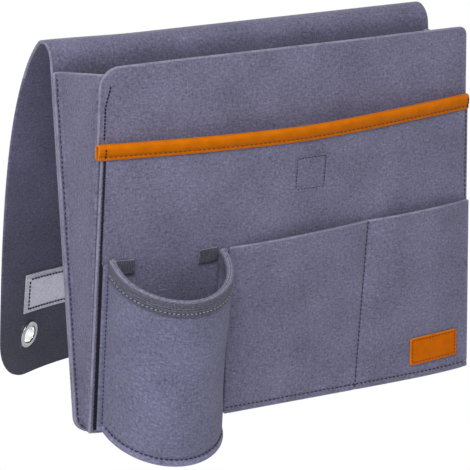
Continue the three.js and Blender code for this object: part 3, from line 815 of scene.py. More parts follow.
def metal_material(name, colour):
    """Polished nickel with fine scuffs and a little tarnish."""
    material, tree, shader = new_material(name)
    place = object_place(tree)
    scuff = noise(tree, mapped(tree, place, (1.0, 1.0, 6.0), 0.4), 380.0, 4.0, 0.65)
    tarnish = noise(tree, place, 120.0, 3.0, 0.6)
    tint = tones(tree, tarnish, colour, (0.3, 0.8), (0.6, 1.0), (0.8, 1.08))
    finish_surface(tree, shader, tint, (scuff, 0.12, 0.34), (scuff, 0.08, 0.0002), {"Metallic": 1.0})
    return material


# Where a colour changes along its sheet: from and to, and its shares there
# Painted shade on the sling's arm side, the flap's face towards the box: 0.82 of its colour all over, falling
# to 0.28 down the flap
ARM_PAINTED_SHADE = (FLAP_RUN + 90, FLAP_RUN + 300, 0.82, 0.28)
# Painted shade on the sling's box side: half its colour over the back panel inside the box, rising to full
# over the fold
BOX_PAINTED_SHADE = (BACK_RUN - 16, BACK_RUN + 12, 0.5, 1.0)
# The holder's felt is lighter along the lowest 3 to 5 mm of its wall
HOLDER_FALL = (3, 5, 1.3, 1.0)
# Painted highlight on the trim's leather: 1.22 of its colour from the top of the front leg over the fold and
# down the back
TRIM_PAINTED_HIGHLIGHT = (8.5, 14, 1.0, 1.22)
# Painted highlight on the binding's rounded top: 2.4 of its colour there, 1.08 elsewhere
BINDING_PAINTED_HIGHLIGHT = (12, 14.2, 1.08, 2.4)

FELT_COLOUR = linear(112, 110, 136)
felt = felt_material("felt", FELT_COLOUR)
# Painted shade: a darker, bluer copy of the felt for the sling's arm side
felt_arm_painted_shade = felt_material("felt_arm_side_painted_shade", linear(112, 110, 141), ARM_PAINTED_SHADE)
# Painted shade: the sling's box side, darker inside the box
felt_box_painted_shade = felt_material("felt_box_side_painted_shade", FELT_COLOUR, BOX_PAINTED_SHADE)
# Painted shade: a darker copy of the felt for the bottle holder's wall
felt_holder_painted_shade = felt_material("felt_holder_painted_shade", linear(108, 108, 135), HOLDER_FALL)
# Paler felt for cut edges: partly the cut fibres, partly a painted highlight
felt_edge_and_highlight = felt_edge_material("felt_edge_and_highlight", linear(136, 134, 156))
# The trim's leather, with a painted highlight over its top fold
leather = leather_material("leather", linear(190, 101, 8), 0.3, TRIM_PAINTED_HIGHLIGHT)
label_leather = leather_material("leather_label", linear(203, 102, 5), 0.42)
leather_edge = leather_material("leather_edge", linear(216, 128, 44), 0.6)
tape = tape_material("binding_tape", linear(84, 83, 98), linear(126, 124, 144))
# Painted shade: a dark copy of the tape for the line along the binding's stitches
tape_groove_painted_shade = tape_material("binding_tape_painted_groove_shade", linear(40, 39, 48), linear(62, 61, 74))
tape_border = tape_material("binding_tape_border", linear(118, 117, 134), linear(150, 149, 166))
# The binding's tape, with a painted highlight along its rounded top
binding_tape = tape_material("binding_tape_painted_highlight", linear(86, 85, 101), linear(126, 124, 144), BINDING_PAINTED_HIGHLIGHT)
nap = nap_material("nap", linear(234, 233, 255))
selvedge = tape_material("selvedge", linear(238, 237, 255), linear(248, 247, 255))
dark_thread = thread_material("dark_thread", linear(46, 45, 54))
black_thread = thread_material("black_thread", linear(22, 21, 30))
grey_thread = thread_material("grey_thread", linear(80, 78, 98))
pale_thread = thread_material("pale_thread", linear(146, 145, 166))
brown_thread = thread_material("brown_thread", linear(112, 58, 22))
nickel = metal_material("nickel", (0.55, 0.55, 0.57))
# Painted shadow: a near-black copy of the nickel for the ring round the eyelet's hole
painted_shadow_metal = metal_material("nickel_painted_shadow", (0.1, 0.1, 0.11))
# Painted highlight: a near-white copy of the nickel for the eyelet's bore
painted_bright_metal = metal_material("nickel_bore_painted_highlight", (0.92, 0.92, 0.93))
FELTS = [felt, felt_edge_and_highlight]

# Rows of stitches: thread, pitch, length of a stitch, half its width and how far its seat lies below the face
STRIP_ROW = (dark_thread, 3.1, 2.7, 0.75, -0.15)
GUSSET_ROW = (dark_thread, 3.6, 2.6, 0.42, 0.25)
TRIM_ROW = (brown_thread, 3.7, 2.6, 0.4, 0.1)
TRIM_END_ROW = (black_thread, 2.4, 2.4, 0.6, 0.2)
SEAM_ROW = (dark_thread, 3.6, 2.7, 0.42, 0.45)
LEFT_PANEL_ROW = (black_thread, 2.6, 2.9, 0.7, 0.45)
RIGHT_PANEL_ROW = (grey_thread, 3.0, 2.9, 0.4, 0.45)
CLOSURE_ROW = (dark_thread, 2.6, 1.8, 0.34, 0.4)
DIVIDER_ROW = (dark_thread, 3.4, 2.5, 0.42, 0.6)
HEM_ROW = (dark_thread, 3.6, 2.7, 0.42, 0.6)
LABEL_ROW = (brown_thread, 2.8, 2.0, 0.34, 0.05)
BINDING_ROW = (pale_thread, 3.0, 2.2, 0.42, 0.05)
BASE_ROW = (dark_thread, 3.6, 2.7, 0.45, 0.35)
# Dense black stitches beside the holder's flange, and a dark row in its crease: thread that also stands in for
# painted shade
HOLDER_SEAM_SHADE_ROW = (black_thread, 1.9, 2.0, 0.85, 0.3)
CREASE_SHADE_ROW = (dark_thread, 3.0, 2.8, 0.5, 0.3)


# Sling
EYE_LINES = np.array([-9, -4.5, 0, 4.5, 9])  # grid lines round an eyelet's middle
EYE_MARGIN = 5


def sling_grid():
    """Places x and s over the sling, how far in from its sides, and the row where the eyelets start."""
    half = BACK_WIDTH / 2 - RIM
    corner = np.array([0, 0.25, 0.9, 1.9, 3.3, 5.0, 7.0, 9.4, 12.1, 15.0, 18.2])
    step = 7.5
    insets = np.concatenate([corner, np.arange(corner[-1] + step, half - step / 2, step), [half]])
    eye = EYELET_FROM_SIDE - RIM
    clear = [d for d in insets if abs(d - eye) > EYE_LINES[-1] + 2 or d > half - 1]
    insets = np.concatenate([clear, eye + EYE_LINES])
    x = np.unique(np.round(np.concatenate([insets - half, half - insets]), 6))
    from_side = half - np.abs(x)

    bottom = RIM + corner_cut(BACK_CORNER - RIM, from_side)
    shares_up = np.concatenate([[0, 0.004, 0.012, 0.024, 0.04], np.linspace(0.06, 1, 46)])[:, None]
    back = bottom + (BACK_RUN - bottom) * shares_up
    fold = np.linspace(BACK_RUN, FLAP_RUN, 21)[1:-1, None] + 0 * x
    eye_rows = FLAP_LENGTH - EYELET_FROM_END + EYE_LINES
    upper = np.linspace(0, eye_rows[0] - EYE_MARGIN, 50)
    down = np.concatenate([upper, eye_rows, [eye_rows[-1] + EYE_MARGIN]])[:, None]
    end = FLAP_LENGTH - RIM - corner_cut(FLAP_CORNER - RIM, from_side)
    last = np.minimum(down[-1], end - 0.4)
    shares_down = np.array([0.15, 0.35, 0.55, 0.72, 0.85, 0.94, 0.985, 1.0])[:, None]
    lower = last + (end - last) * shares_down
    s = np.concatenate([back, fold, FLAP_RUN + down * np.minimum(1, last / down[-1]), FLAP_RUN + lower])
    return np.broadcast_to(x, s.shape), s, from_side, len(back) + len(fold) + len(upper)


def eyelet_holes(x, s, first):
    """A block of cells for each eyelet, with the round edges of its hole on both faces."""
    eye_row = FLAP_LENGTH - EYELET_FROM_END
    radius = EYELET_BORE / 2 + EYELET_WALL + GAP
    span = len(EYE_LINES) - 1
    holes = []
    for hand in (-1, 1):
        centre = hand * (BACK_WIDTH / 2 - EYELET_FROM_SIDE)
        column = int(np.argmin(np.abs(x[0] - centre))) - span // 2
        block = (first, first + span, column, column + span)
        dx = around(x, *block) - centre
        ds = around(s, *block) - FLAP_RUN - eye_row
        far = np.hypot(dx, ds)
        px, ps = centre + dx / far * radius, eye_row + ds / far * radius
        holes.append((*block, flap(px, ps, -FELT / 2), flap(px, ps, FELT / 2)))
    return holes


def make_sling():
    x, s, from_side, first = sling_grid()
    # The flap's rows take the painted-shade felt on their cut edge too
    hanging = s[:, 0] > FLAP_RUN + 40
    window = smooth((s - FLAP_RUN) / 80) * smooth(from_side / 30)
    bulge = FLAP_WAVE * np.sin(x / 37 + 1.0) * np.sin(s / 52) * window
    inner, outer = sling(x, s, bulge - FELT / 2), sling(x, s, bulge + FELT / 2)
    finishes = [felt_box_painted_shade, felt_arm_painted_shade, felt_edge_and_highlight]
    obj = sheet(
        "felt_sling", inner, outer, uv_of(x, s), finishes, RIM, eyelet_holes(x, s, first),
        plain=lambda row, _: hanging[row], outer_slot=1,
    )
    finish_piece(obj, "felt", None, "back_panel", "top_fold", "hanging_flap")
    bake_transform(obj)
    return obj


sling_piece = make_sling()


# Fastening strip: a napped face between flat woven borders
def make_strip():
    top = FLAP_LENGTH - STRIP_FROM_END - STRIP_HEIGHT
    edge = np.array([0.0, 0.4, 1.2, 2.0, 2.6, 3.2, 4.0])
    r, c, inset = patch(edge, 6, STRIP_HEIGHT, 9, STRIP_WIDTH, 60)
    pile = HOOK_AND_LOOP - 0.35 + 0.55 * smooth((inset - 2.0) / 1.6)
    x, s = np.broadcast_arrays(c - STRIP_WIDTH / 2, top + r)
    seat = FELT / 2 + GAP
    inner, outer = flap(x, s, seat), flap(x, s, seat + pile)
    obj = sheet("fastening_strip", inner, outer, uv_of(x, s), [nap, selvedge], STRIP_RIM)
    set_cells(obj, (inset[:-1, :-1] + inset[1:, 1:]) / 2 < STRIP_BORDER, 1, faces=(0, 1))
    finish_piece(obj, "hook_and_loop", "flap", "flap_fastening_strip")
    reach = STRIP_WIDTH / 2 - STRIP_INSET
    path = frame_path(-reach, reach, top + STRIP_INSET, top + STRIP_HEIGHT - STRIP_INSET)

    def on_strip(a, b, lift):
        return flap(a, b, seat + HOOK_AND_LOOP + lift)

    return obj, sew("fastening_strip_stitches", path, on_strip, STRIP_ROW, "flap_strip_thread", body="flap")


strip, strip_stitches = make_strip()


# Eyelets
def eyelet_matrix(hand):
    x = np.array(hand * (BACK_WIDTH / 2 - EYELET_FROM_SIDE))
    s = np.array(FLAP_LENGTH - EYELET_FROM_END + FLAP_RUN)
    turn = Vector((0, 0, 1)).rotation_difference(Vector(sling_normal(x, s)))
    return Matrix.LocRotScale(Vector(sling_middle(x, s)), turn, None)


def make_eyelet(hand, word):
    bore, rim = EYELET_BORE / 2, EYELET_FLANGE / 2
    barrel = bore + EYELET_WALL
    seat = FELT / 2 + 2 * GAP
    lip = seat + WASHER + GAP
    middle, half = (bore + rim) / 2, (rim - bore) / 2
    dome = [
        (middle + half * math.cos(a), seat + 0.2 + EYELET_DOME * 0.86 * math.sin(a) ** 0.8)
        for a in np.linspace(0, math.pi, 15)
    ]
    curl = [
        (bore + EYELET_LIP / 2 * (1 - math.cos(a)), -lip - EYELET_WALL * math.sin(a))
        for a in np.linspace(0, math.pi, 9)
    ]
    outline = [(rim, seat), *dome, *curl, (barrel, -lip), (barrel, seat)]
    slots = np.zeros(len(outline), int)
    # Bands at the foot of the dome towards the hole take the painted-shadow nickel
    slots[len(dome) - 4:len(dome) - 1] = 1
    # The bore takes the near-white nickel, a painted highlight
    slots[len(dome) - 1:len(dome) + 3] = 2
    ring = turned(f"eyelet_ring_{word}", outline, eyelet_matrix(hand), [nickel, painted_shadow_metal, painted_bright_metal], slots)
    finish_piece(ring, "steel", "flap", f"eyelet_{word}")
    inner = barrel + GAP
    washer_line = [
        (inner, -seat),
        (inner, -seat - WASHER * 0.7),
        (inner + 0.3, -seat - WASHER),
        (rim - 0.5, -seat - WASHER),
        (rim - 0.15, -seat - WASHER * 0.8),
        (rim, -seat - WASHER * 0.4),
        (rim, -seat),
    ]
    washer = turned(f"eyelet_backing_{word}", washer_line, eyelet_matrix(hand), [nickel])
    finish_piece(washer, "steel", "flap", f"eyelet_washer_{word}")


make_eyelet(-1, "left")
make_eyelet(1, "right")


# Front panel
PANEL_MARGIN = 12.0
PANEL_INSETS = np.array([0, 0.5, 1.2, 2.0, 2.7, 3.4, 4.0, 4.6, 5.4, 6.4, 8.0, 10.0])
SEAM_REACH = 2.4  # how far finer rows and columns reach from a seam


def side_columns(step, seams=()):
    """Columns of a panel as shares of its middle and distances from there, closer at its sides and seams."""
    reach = FRONT_BOTTOM / 2 - PANEL_MARGIN
    middle = np.linspace(-1, 1, int(2 * reach / step) + 1)
    if seams:
        middle = refined(middle * reach, seams, SEAM_REACH) / reach
    edge = PANEL_MARGIN - PANEL_INSETS
    share = np.concatenate([np.full(len(edge), -1.0), middle, np.full(len(edge), 1.0)])
    return share, np.concatenate([-edge, np.zeros(len(middle)), edge[::-1]])


def column_x(share, offset, v, half=front_half):
    return share * (half(v) - RIM * math.cos(LEAN) - PANEL_MARGIN) + offset


def make_front():
    share, offset = side_columns(6)
    rows = np.concatenate([[0, 0.006, 0.02], np.linspace(0.04, 0.96, 44), [0.975, 0.987, 0.995, 1.0]])
    from_side = front_half(FRONT_HEIGHT) - RIM - np.abs(column_x(share, offset, FRONT_HEIGHT))
    radius = np.where(share + offset < 0, *FRONT_CORNERS)
    top = FRONT_HEIGHT - RIM - corner_cut(radius - RIM, from_side)
    v = RIM + (top - RIM) * rows[:, None]
    x = column_x(share, offset, v)
    dent = groove(front_half(v) - SIDE_SEAM - np.abs(x), *PANEL_GROOVE) * smooth((v - POCKET_HEIGHT) / 6)
    covered = np.max(v, axis=1) < POCKET_HEIGHT
    obj = sheet(
        "front_panel_felt", front(x, 0, v), on_panel(x, v, dent), uv_of(x, v), FELTS, RIM,
        plain=lambda row, _: covered[row],
    )
    return finish_piece(obj, "felt", "caddy", "front_panel")


front_piece = make_front()


# Gusset
GUSSET_REAR = FELT + GAP + FELT / 2


def gusset_depth(z):
    return DEPTH_BOTTOM + z * math.tan(LEAN) - GUSSET_REAR - (GAP + FELT / 2) / math.cos(LEAN)


def gusset_route():
    half = BACK_WIDTH / 2 - GUSSET_FLANGE
    radius = BACK_CORNER - GUSSET_FLANGE
    side = (GUSSET_TOP - RIM - GUSSET_FLANGE - radius, 0, 0, 48)
    corner = (0, radius, math.pi / 2, 8)
    bottom = (2 * (half - radius), 0, 0, 36)
    return track((-half, GUSSET_TOP - RIM), -math.pi / 2, [side, corner, bottom, corner, side])


def gusset_section(z):
    flange = (GUSSET_FLANGE - GUSSET_BEND - RIM, 0, 0, 5)
    bend = (0, GUSSET_BEND, -math.pi / 2, 6)
    web = (gusset_depth(z) - 2 * GUSSET_BEND, 0, 0, 10)
    return track((GUSSET_FLANGE - RIM, 0), math.pi, [flange, bend, web, bend, flange])


def gusset(a, b, na, nb, out, depth):
    """A point of the gusset, out from its route and forward from the rear seam by depth."""
    z = b + nb * out
    share = depth / gusset_depth(b)
    widen = 1 + (front_half(z / math.cos(LEAN)) / (BACK_WIDTH / 2) - 1) * share
    x = (a + na * out) * widen
    rear = z - BACK_DROP * (1 - z / GUSSET_TOP)
    fore = z + GUSSET_RISE * z / GUSSET_TOP - front_sag(x, z)
    return stack(x, -GUSSET_REAR - share * gusset_depth(fore), rear + (fore - rear) * share)


def make_gusset():
    route = gusset_route()
    at_zero, at_top = gusset_section(0.0), gusset_section(GUSSET_TOP)
    a, b, na, nb = (route[:, k][:, None] for k in range(4))
    section = at_zero[None] + (b / GUSSET_TOP)[..., None] * (at_top - at_zero)[None]
    sa, sb, sna, snb = (section[..., k] for k in range(4))
    reach = walk_along(route[:, :2])
    run = reach[:, None]
    web = smooth((sb - 4) / 8) * smooth((gusset_depth(b) - sb - 4) / 8) * smooth((np.abs(a) - 120) / 25)
    bulge = web * (0.5 * np.sin(run / 47 + 0.4) + 0.35 * np.sin(run / 23 + sb / 9))
    at_rear = sb < 8
    dent = groove(np.where(at_rear, sa - (GUSSET_FLANGE - GUSSET_SEAM), np.inf), *GUSSET_GROOVE)
    inner, outer = (
        gusset(a, b, na, nb, sa + sna * offset, sb + snb * offset)
        for offset in (bulge - FELT / 2, bulge + FELT / 2 + dent)
    )
    last, end = sa.shape[1] - 1, len(route) - 1
    obj = sheet(
        "gusset_felt", inner, outer, uv_of(run, sa + sb), FELTS, RIM,
        plain=lambda row, column: (column == last) & (row < end),
    )
    finish_piece(obj, "felt", "caddy", "gusset_strip")

    def on_flange(t, _, lift):
        rows = [np.interp(t, reach, route[:, k]) for k in range(4)]
        return gusset(*rows, GUSSET_FLANGE - GUSSET_SEAM, FELT / 2 + lift)

    sew("gusset_stitches", [(2, 0), (reach[-1] - 2, 0)], on_flange, GUSSET_ROW, "gusset_thread")
    return obj


gusset_piece = make_gusset()


# Magazine pocket
CLOSURE_SQUARE = (
    CLOSURE_LEFT + CLOSURE_INSET, CLOSURE_LEFT + CLOSURE - CLOSURE_INSET,
    CLOSURE_BOTTOM + CLOSURE_INSET, CLOSURE_BOTTOM + CLOSURE - CLOSURE_INSET,
)


def square_distance(x, v, left, right, bottom, top):
    """Distance from the outline of a rectangle."""
    dx = np.maximum(np.maximum(left - x, x - right), 0)
    dv = np.maximum(np.maximum(bottom - v, v - top), 0)
    inside = np.minimum(np.minimum(x - left, right - x), np.minimum(v - bottom, top - v))
    return np.where(inside > 0, inside, np.hypot(dx, dv))


def make_pocket():
    share, offset = side_columns(4, [CLOSURE_LEFT, CLOSURE_LEFT + CLOSURE])
    tall = POCKET_HEIGHT - RIM
    rows = np.concatenate([[0, 0.6, 1.5, 2.5], np.linspace(3.5, 206, 54), [208, 210, 211.5]])
    rows = refined(rows, [HEM, CLOSURE_BOTTOM, CLOSURE_BOTTOM + CLOSURE], SEAM_REACH)
    rows = np.concatenate([rows[rows >= 0], [tall]])[:, None] / tall
    top = pocket_top(column_x(share, offset, POCKET_HEIGHT, pocket_half))
    v = RIM + (top - 2 * RIM) * rows
    x = column_x(share, offset, v, pocket_half)
    seam = groove(front_half(v) - SIDE_SEAM - np.abs(x), *SEAM_GROOVE)
    square = groove(square_distance(x, v, *CLOSURE_SQUARE), *CLOSURE_GROOVE)
    dent = np.minimum(np.minimum(seam, square), groove(v - HEM, *HEM_GROOVE))
    inner, outer = front(x, pocket_rear(x, v), v), on_pocket(x, v, dent)
    obj = sheet("magazine_pocket_felt", inner, outer, uv_of(x + 400, v), FELTS, RIM)
    return finish_piece(obj, "felt", "caddy", "magazine_pocket")


pocket_piece = make_pocket()


# Trim over the pocket's mouth
def trim_puff(d):
    """How far the leather swells, by the height above its lower edge."""
    return 0.32 * smooth(d) + TRIM_BULGE * smooth((d - 2.2) / 2.5)


def on_trim(x, v, lift):
    return on_pocket(x, v, GAP + LEATHER + lift)


def make_trim():
    u = np.concatenate([[-1, -0.995, -0.985], np.linspace(-0.97, 0.97, 110), [0.985, 0.995, 1]])
    overhang = np.where(u < 0, *TRIM_OVERHANGS) - 0.5
    top = pocket_top(u * front_half(POCKET_HEIGHT))

    def place(up, out):
        v = top + up
        x = u * (pocket_half(v) + overhang)
        return front(x, pocket_rear(x, np.minimum(v, POCKET_HEIGHT)) + FELT / 2 + out, v)

    inner, outer = folded_strip(
        TRIM_HEIGHT,
        np.array([0, 0.3, 0.9, 1.4, 1.8, 2.2, 2.8, 3.8, 5.0, 6.3, 7.5]),
        np.linspace(0, math.pi, 13),
        LEATHER,
        lambda d: trim_puff(d) + groove(d - TRIM_INSET, *TRIM_GROOVE),
        lambda a: trim_puff(TRIM_HEIGHT) * max(math.cos(a), 0),
        place,
    )
    walk = 1.2 * np.arange(len(inner))[:, None]
    uv = uv_of(u * (pocket_half(POCKET_HEIGHT) + overhang), walk)
    obj = sheet("trim_leather", inner, outer, uv, [leather, leather_edge], LEATHER_RIM)
    finish_piece(obj, "leather", "caddy", "pocket_trim")
    x = np.linspace(-1, 1, 160) * (front_half(POCKET_HEIGHT) - TRIM_INSET)
    path = np.stack([x, pocket_top(x) - TRIM_HEIGHT + TRIM_INSET], 1)
    sew("trim_stitches", path, on_trim, TRIM_ROW, "pocket_trim_thread")
    return obj


trim_piece = make_trim()


def seam_path(hand, inset, heights):
    """A path up one side of the front, inset from its edge."""
    return np.stack([hand * (front_half(heights) - inset), heights], 1)


def make_side_seams(hand, word, bottom, panel_row):
    mouth = float(pocket_top(hand * front_half(POCKET_HEIGHT)))
    foot = mouth - TRIM_HEIGHT
    path = seam_path(hand, SIDE_SEAM, np.linspace(bottom, foot - 1, 60))
    sew(f"{word}_seam_stitches", path, on_pocket, SEAM_ROW, f"{word}_seam_thread")
    heights = np.linspace(mouth + 2, FRONT_HEIGHT - 12, 20)
    lean = PANEL_SEAM_INSET + PANEL_SEAM_LEAN * smooth((heights - FRONT_HEIGHT + 30) / 18)
    path = seam_path(hand, SIDE_SEAM + lean, heights)
    sew(f"{word}_panel_stitches", path, on_panel, panel_row, f"{word}_panel_thread")
    path = seam_path(hand, SIDE_SEAM, np.linspace(foot + 0.5, mouth - 0.6, 8))

    def on_swell(a, b, lift):
        return on_trim(a, b, trim_puff(b - foot) + lift)

    sew(f"{word}_trim_end_stitches", path, on_swell, TRIM_END_ROW)


make_side_seams(-1, "left", HEM, LEFT_PANEL_ROW)
make_side_seams(1, "right", PHONE_HIGH + 1, RIGHT_PANEL_ROW)


# Closure inside the pocket: two hook-and-loop squares, and the stitches that show on the pocket
def make_closure():
    r, c, inset = patch(np.array([0, 0.5, 1.5, 2.5]), 4, CLOSURE, 8, CLOSURE, 8)
    x, v = np.broadcast_arrays(CLOSURE_LEFT + c, CLOSURE_BOTTOM + r)
    pile = 0.9 + 0.45 * smooth(inset / 2.5)
    panel = FELT + GAP
    pocket = pocket_rear(x, v) - GAP
    squares = []
    for word, rear, fore, shift in (("loop", panel, panel + pile, 0), ("hook", pocket - pile, pocket, 60)):
        inner, outer = front(x, rear, v), front(x, fore, v)
        obj = sheet(f"closure_{word}s", inner, outer, uv_of(x + shift, v), [nap, selvedge], CLOSURE_RIM)
        squares.append(finish_piece(obj, "hook_and_loop", "caddy", f"closure_{word}_square"))
    sew("closure_stitches", frame_path(*CLOSURE_SQUARE), on_pocket, CLOSURE_ROW, "closure_thread")
    return squares


closure_loops, closure_hooks = make_closure()


# Phone pockets
def phone_columns(v):
    """Places across the phone layer at one height, closer at its sides and its divider."""
    side = np.array([0, 0.5, 1.2, 2.0, 3.0, 4.0, 5.0])
    ridge = np.array([-3, -2.2, -1.5, -0.9, -0.4, 0, 0.4, 0.9, 1.5, 2.2, 3])
    end, divider = pocket_half(v) - RIM, phone_divider(v)
    left = np.linspace(PHONE_LEFT + 8, divider - 4, 36)
    right = np.linspace(divider + 4, end - 8, 34)
    return np.concatenate([PHONE_LEFT + RIM + side, left, divider + ridge, right, end - side[::-1]])


def make_phone():
    hem = np.array([0, 0.5, 1.2, 2.0, 2.6, 3.0, 3.4, 3.8, 4.4, 5.2, 6.5])
    tall = PHONE_HIGH - 2 * RIM
    rows = np.concatenate([hem, np.linspace(8, 122, 34), [124, 125.5, tall]])[:, None] / tall
    v = RIM + (phone_top(phone_columns(PHONE_HIGH)) - 2 * RIM) * rows
    x = np.array([[phone_columns(value)[k] for k, value in enumerate(line)] for line in v])
    dent = np.min([
        groove(x - phone_divider(v), *DIVIDER_GROOVE),
        groove(v - HEM, *PHONE_HEM_GROOVE),
        groove(front_half(v) - SIDE_SEAM - x, *SEAM_GROOVE),
        groove(x - PHONE_LEFT - SIDE_SEAM, *PHONE_SIDE_GROOVE),
    ], axis=0)
    inner, outer = on_phone(x, v, -FELT), on_phone(x, v, dent)
    obj = sheet(
        "phone_pocket_felt", inner, outer, uv_of(x + 900, v), FELTS, RIM, plain=lambda _, column: column == 0
    )
    finish_piece(obj, "felt", "caddy", "phone_pocket")
    heights = np.linspace(1.5, phone_top(phone_divider(PHONE_HIGH)) - 0.5, 40)
    divider = np.stack([phone_divider(heights), heights], 1)
    sew("phone_divider_stitches", divider, on_phone, DIVIDER_ROW, "phone_divider_thread")
    hem_path = [(a, HEM) for a in np.linspace(PHONE_LEFT + 1, front_half(HEM) - SIDE_SEAM, 60)]
    sew("phone_hem_stitches", hem_path, on_phone, HEM_ROW, "phone_hem_thread")
    return obj


phone_piece = make_phone()


# Label: a blank leather patch, sewn on a little tilted
def label_place(c, r):
    """Where a place on the label lies on the front, from its left and lower edges."""
    a, b = np.broadcast_arrays(c - LABEL_WIDTH / 2, r - LABEL_HEIGHT / 2)
    x = LABEL_RIGHT - LABEL_WIDTH / 2 + a * math.cos(LABEL_TILT) - b * math.sin(LABEL_TILT)
    v = LABEL_BOTTOM + LABEL_HEIGHT / 2 + a * math.sin(LABEL_TILT) + b * math.cos(LABEL_TILT)
    return x, v


def on_label(c, r, lift):
    return on_phone(*label_place(c, r), GAP + LEATHER + lift)


def make_label():
    line = np.array([0, 0.35, 0.8, 1.2, 1.6, 2.0, 2.5, 3.4])
    r, c, inset = patch(line, 5, LABEL_HEIGHT, 8, LABEL_WIDTH, 18)
    from_side = np.minimum(c, LABEL_WIDTH - c)
    cut = np.sign(c - LABEL_WIDTH / 2) * corner_cut(LABEL_CORNER, np.minimum(r, LABEL_HEIGHT - r))
    c = c - cut * (1 - from_side / LABEL_CORNER).clip(0, 1)
    puff = 0.25 * smooth(inset / 0.8) + 0.2 * smooth((inset - 2) / 3)
    puff = puff + groove(inset - LABEL_INSET, *LABEL_GROOVE)
    inner, outer = on_label(c, r, -LEATHER), on_label(c, r, puff)
    uv = uv_of(*label_place(c, r))
    obj = sheet("label_leather", inner, outer, uv, [label_leather, leather_edge], LEATHER_RIM)
    finish_piece(obj, "leather", "caddy", "label_patch")
    path = frame_path(LABEL_INSET, LABEL_WIDTH - LABEL_INSET, LABEL_INSET, LABEL_HEIGHT - LABEL_INSET)
    sew("label_stitches", path, on_label, LABEL_ROW, "label_thread")
    return obj


label_piece = make_label()

# Bottle holder: its plan is a row of stations round the U, from one flange to the other
HOLDER_FLANGES = 4
HOLDER_BENDS = 6
HOLDER_SIDES = 6
HOLDER_TURNS = 56


def holder_plan(t):
    start = SIDE_SEAM + HOLDER_FROM_SEAM - front_half(HOLDER_BOTTOM + (HOLDER_RIM - HOLDER_BOTTOM) * t)
    flange = (HOLDER_FLANGE, 0, 0, HOLDER_FLANGES)
    bend = (0, HOLDER_BEND, math.pi / 2, HOLDER_BENDS)
    side = (HOLDER_SIDE, 0, 0, HOLDER_SIDES)
    turn = (0, HOLDER_WIDTH / 2, -math.pi, HOLDER_TURNS)
    return track((start, GAP + FELT / 2), 0, [flange, bend, side, turn, side, bend, flange])


PLAN_LOW = holder_plan(0.0)
PLAN_RISE = holder_plan(1.0) - PLAN_LOW
STATIONS = np.arange(len(PLAN_LOW))
ROUND_START = HOLDER_FLANGES + HOLDER_BENDS
ROUND_END = STATIONS[-1] - ROUND_START
HOLDER_WALK = walk_along(PLAN_LOW[:, :2])


def holder_foot(h):
    return HOLDER_BOTTOM - HOLDER_BOTTOM_SLOPE * h


def holder_height(h):
    return HOLDER_RIM - HOLDER_RIM_SLOPE * h - holder_foot(h)


def holder(k, t, dv, offset):
    """A point at place k of the holder's plan and share t of its height, dv further up and offset out."""
    low = [np.interp(k, STATIONS, PLAN_LOW[:, c]) for c in range(4)]
    rise = [np.interp(k, STATIONS, PLAN_RISE[:, c]) for c in range(2)]
    share = t + dv / holder_height(low[1] + rise[1] * t)
    a, b = low[0] + rise[0] * share, low[1] + rise[1] * share
    x = a - low[2] * offset
    v = holder_foot(b) + share * holder_height(b)
    return on_pocket_above(x, v, b - low[3] * offset)


def on_pocket_above(x, v, lift):
    """A point off the pocket's face, also where it lies lower than the pocket."""
    return front(x, pocket_face(x, np.maximum(v, 0)) + lift, v)


def make_holder_wall():
    k = STATIONS[None, :].astype(float)
    height = holder_height(PLAN_LOW[:, 1])[None, :]
    hem = np.array([0, 0.6, 1.5, 2.6, 3.6, 4.4, 5.0, 5.6, 6.2, 6.8, 7.6, 8.8, 10.5, 13])
    t = np.concatenate([hem / 121, np.linspace(0.13, 1, 30)])[:, None]
    share = t * (1 - 2 * RIM / height) + RIM / height
    above = share * height
    near_start = smooth((k - HOLDER_FLANGES) / HOLDER_BENDS)
    round_part = near_start * smooth((STATIONS[-1] - HOLDER_FLANGES - k) / HOLDER_BENDS)
    flare = HOLDER_FLARE * smooth((5.5 - above) / 5) * round_part
    seam = groove(above - HOLDER_STITCH, *HOLDER_GROOVE) * round_part
    bulge = 0.55 * np.sin(k / 6.5 + 0.8) * np.sin(above / 27) + 0.35 * np.sin(k / 11 - above / 19 + 2.0)
    bulge = bulge * round_part * smooth((above - 14) / 20) * smooth((height - above - 14) / 18) + flare
    places = np.broadcast_to(k, share.shape)
    inner, outer = (holder(places, share, 0, out) for out in (bulge - FELT / 2, bulge + FELT / 2 + seam))
    obj = sheet(
        "bottle_holder_felt", inner, outer, uv_of(HOLDER_WALK + 1300, above), [felt_holder_painted_shade, felt_edge_and_highlight], RIM,
        plain=lambda row, _: row > 0,
    )
    return finish_piece(obj, "felt", "caddy", "bottle_holder_wall")


def make_holder_base():
    t = HOLDER_HEM / (HOLDER_RIM - HOLDER_BOTTOM)
    radius = HOLDER_WIDTH / 2 - FELT / 2 - 2 * GAP - BASE_CLEARANCE
    start = HOLDER_SIDE + HOLDER_BEND + GAP + FELT / 2
    rear = GAP + BASE_CLEARANCE
    centre = PLAN_LOW[ROUND_START, 0] + PLAN_RISE[ROUND_START, 0] * t + HOLDER_WIDTH / 2
    quarter = math.pi / 2 - 0.03
    angle, share = grid(np.linspace(-quarter, quarter, 49), np.linspace(0, 1, 16))
    x = centre + radius * np.sin(angle) + 0 * share
    h = rear + (start + radius * np.cos(angle) - rear) * share
    v = holder_foot(h) + HOLDER_HEM - BASE_SAG * np.cos(angle) * np.sin(np.pi * share)
    inner, outer = on_pocket_above(x, v, h), on_pocket_above(x, v + FELT, h)
    obj = sheet("bottle_holder_base_felt", inner, outer, uv_of(x, h), FELTS, BASE_RIM)
    return finish_piece(obj, "felt", "caddy", "bottle_holder_base")


def binding_rise(k):
    """How far the binding's left end stands above the wall's rim."""
    return BINDING_END_RISE * (1 - smooth((k - ROUND_START) / BINDING_END_REACH))


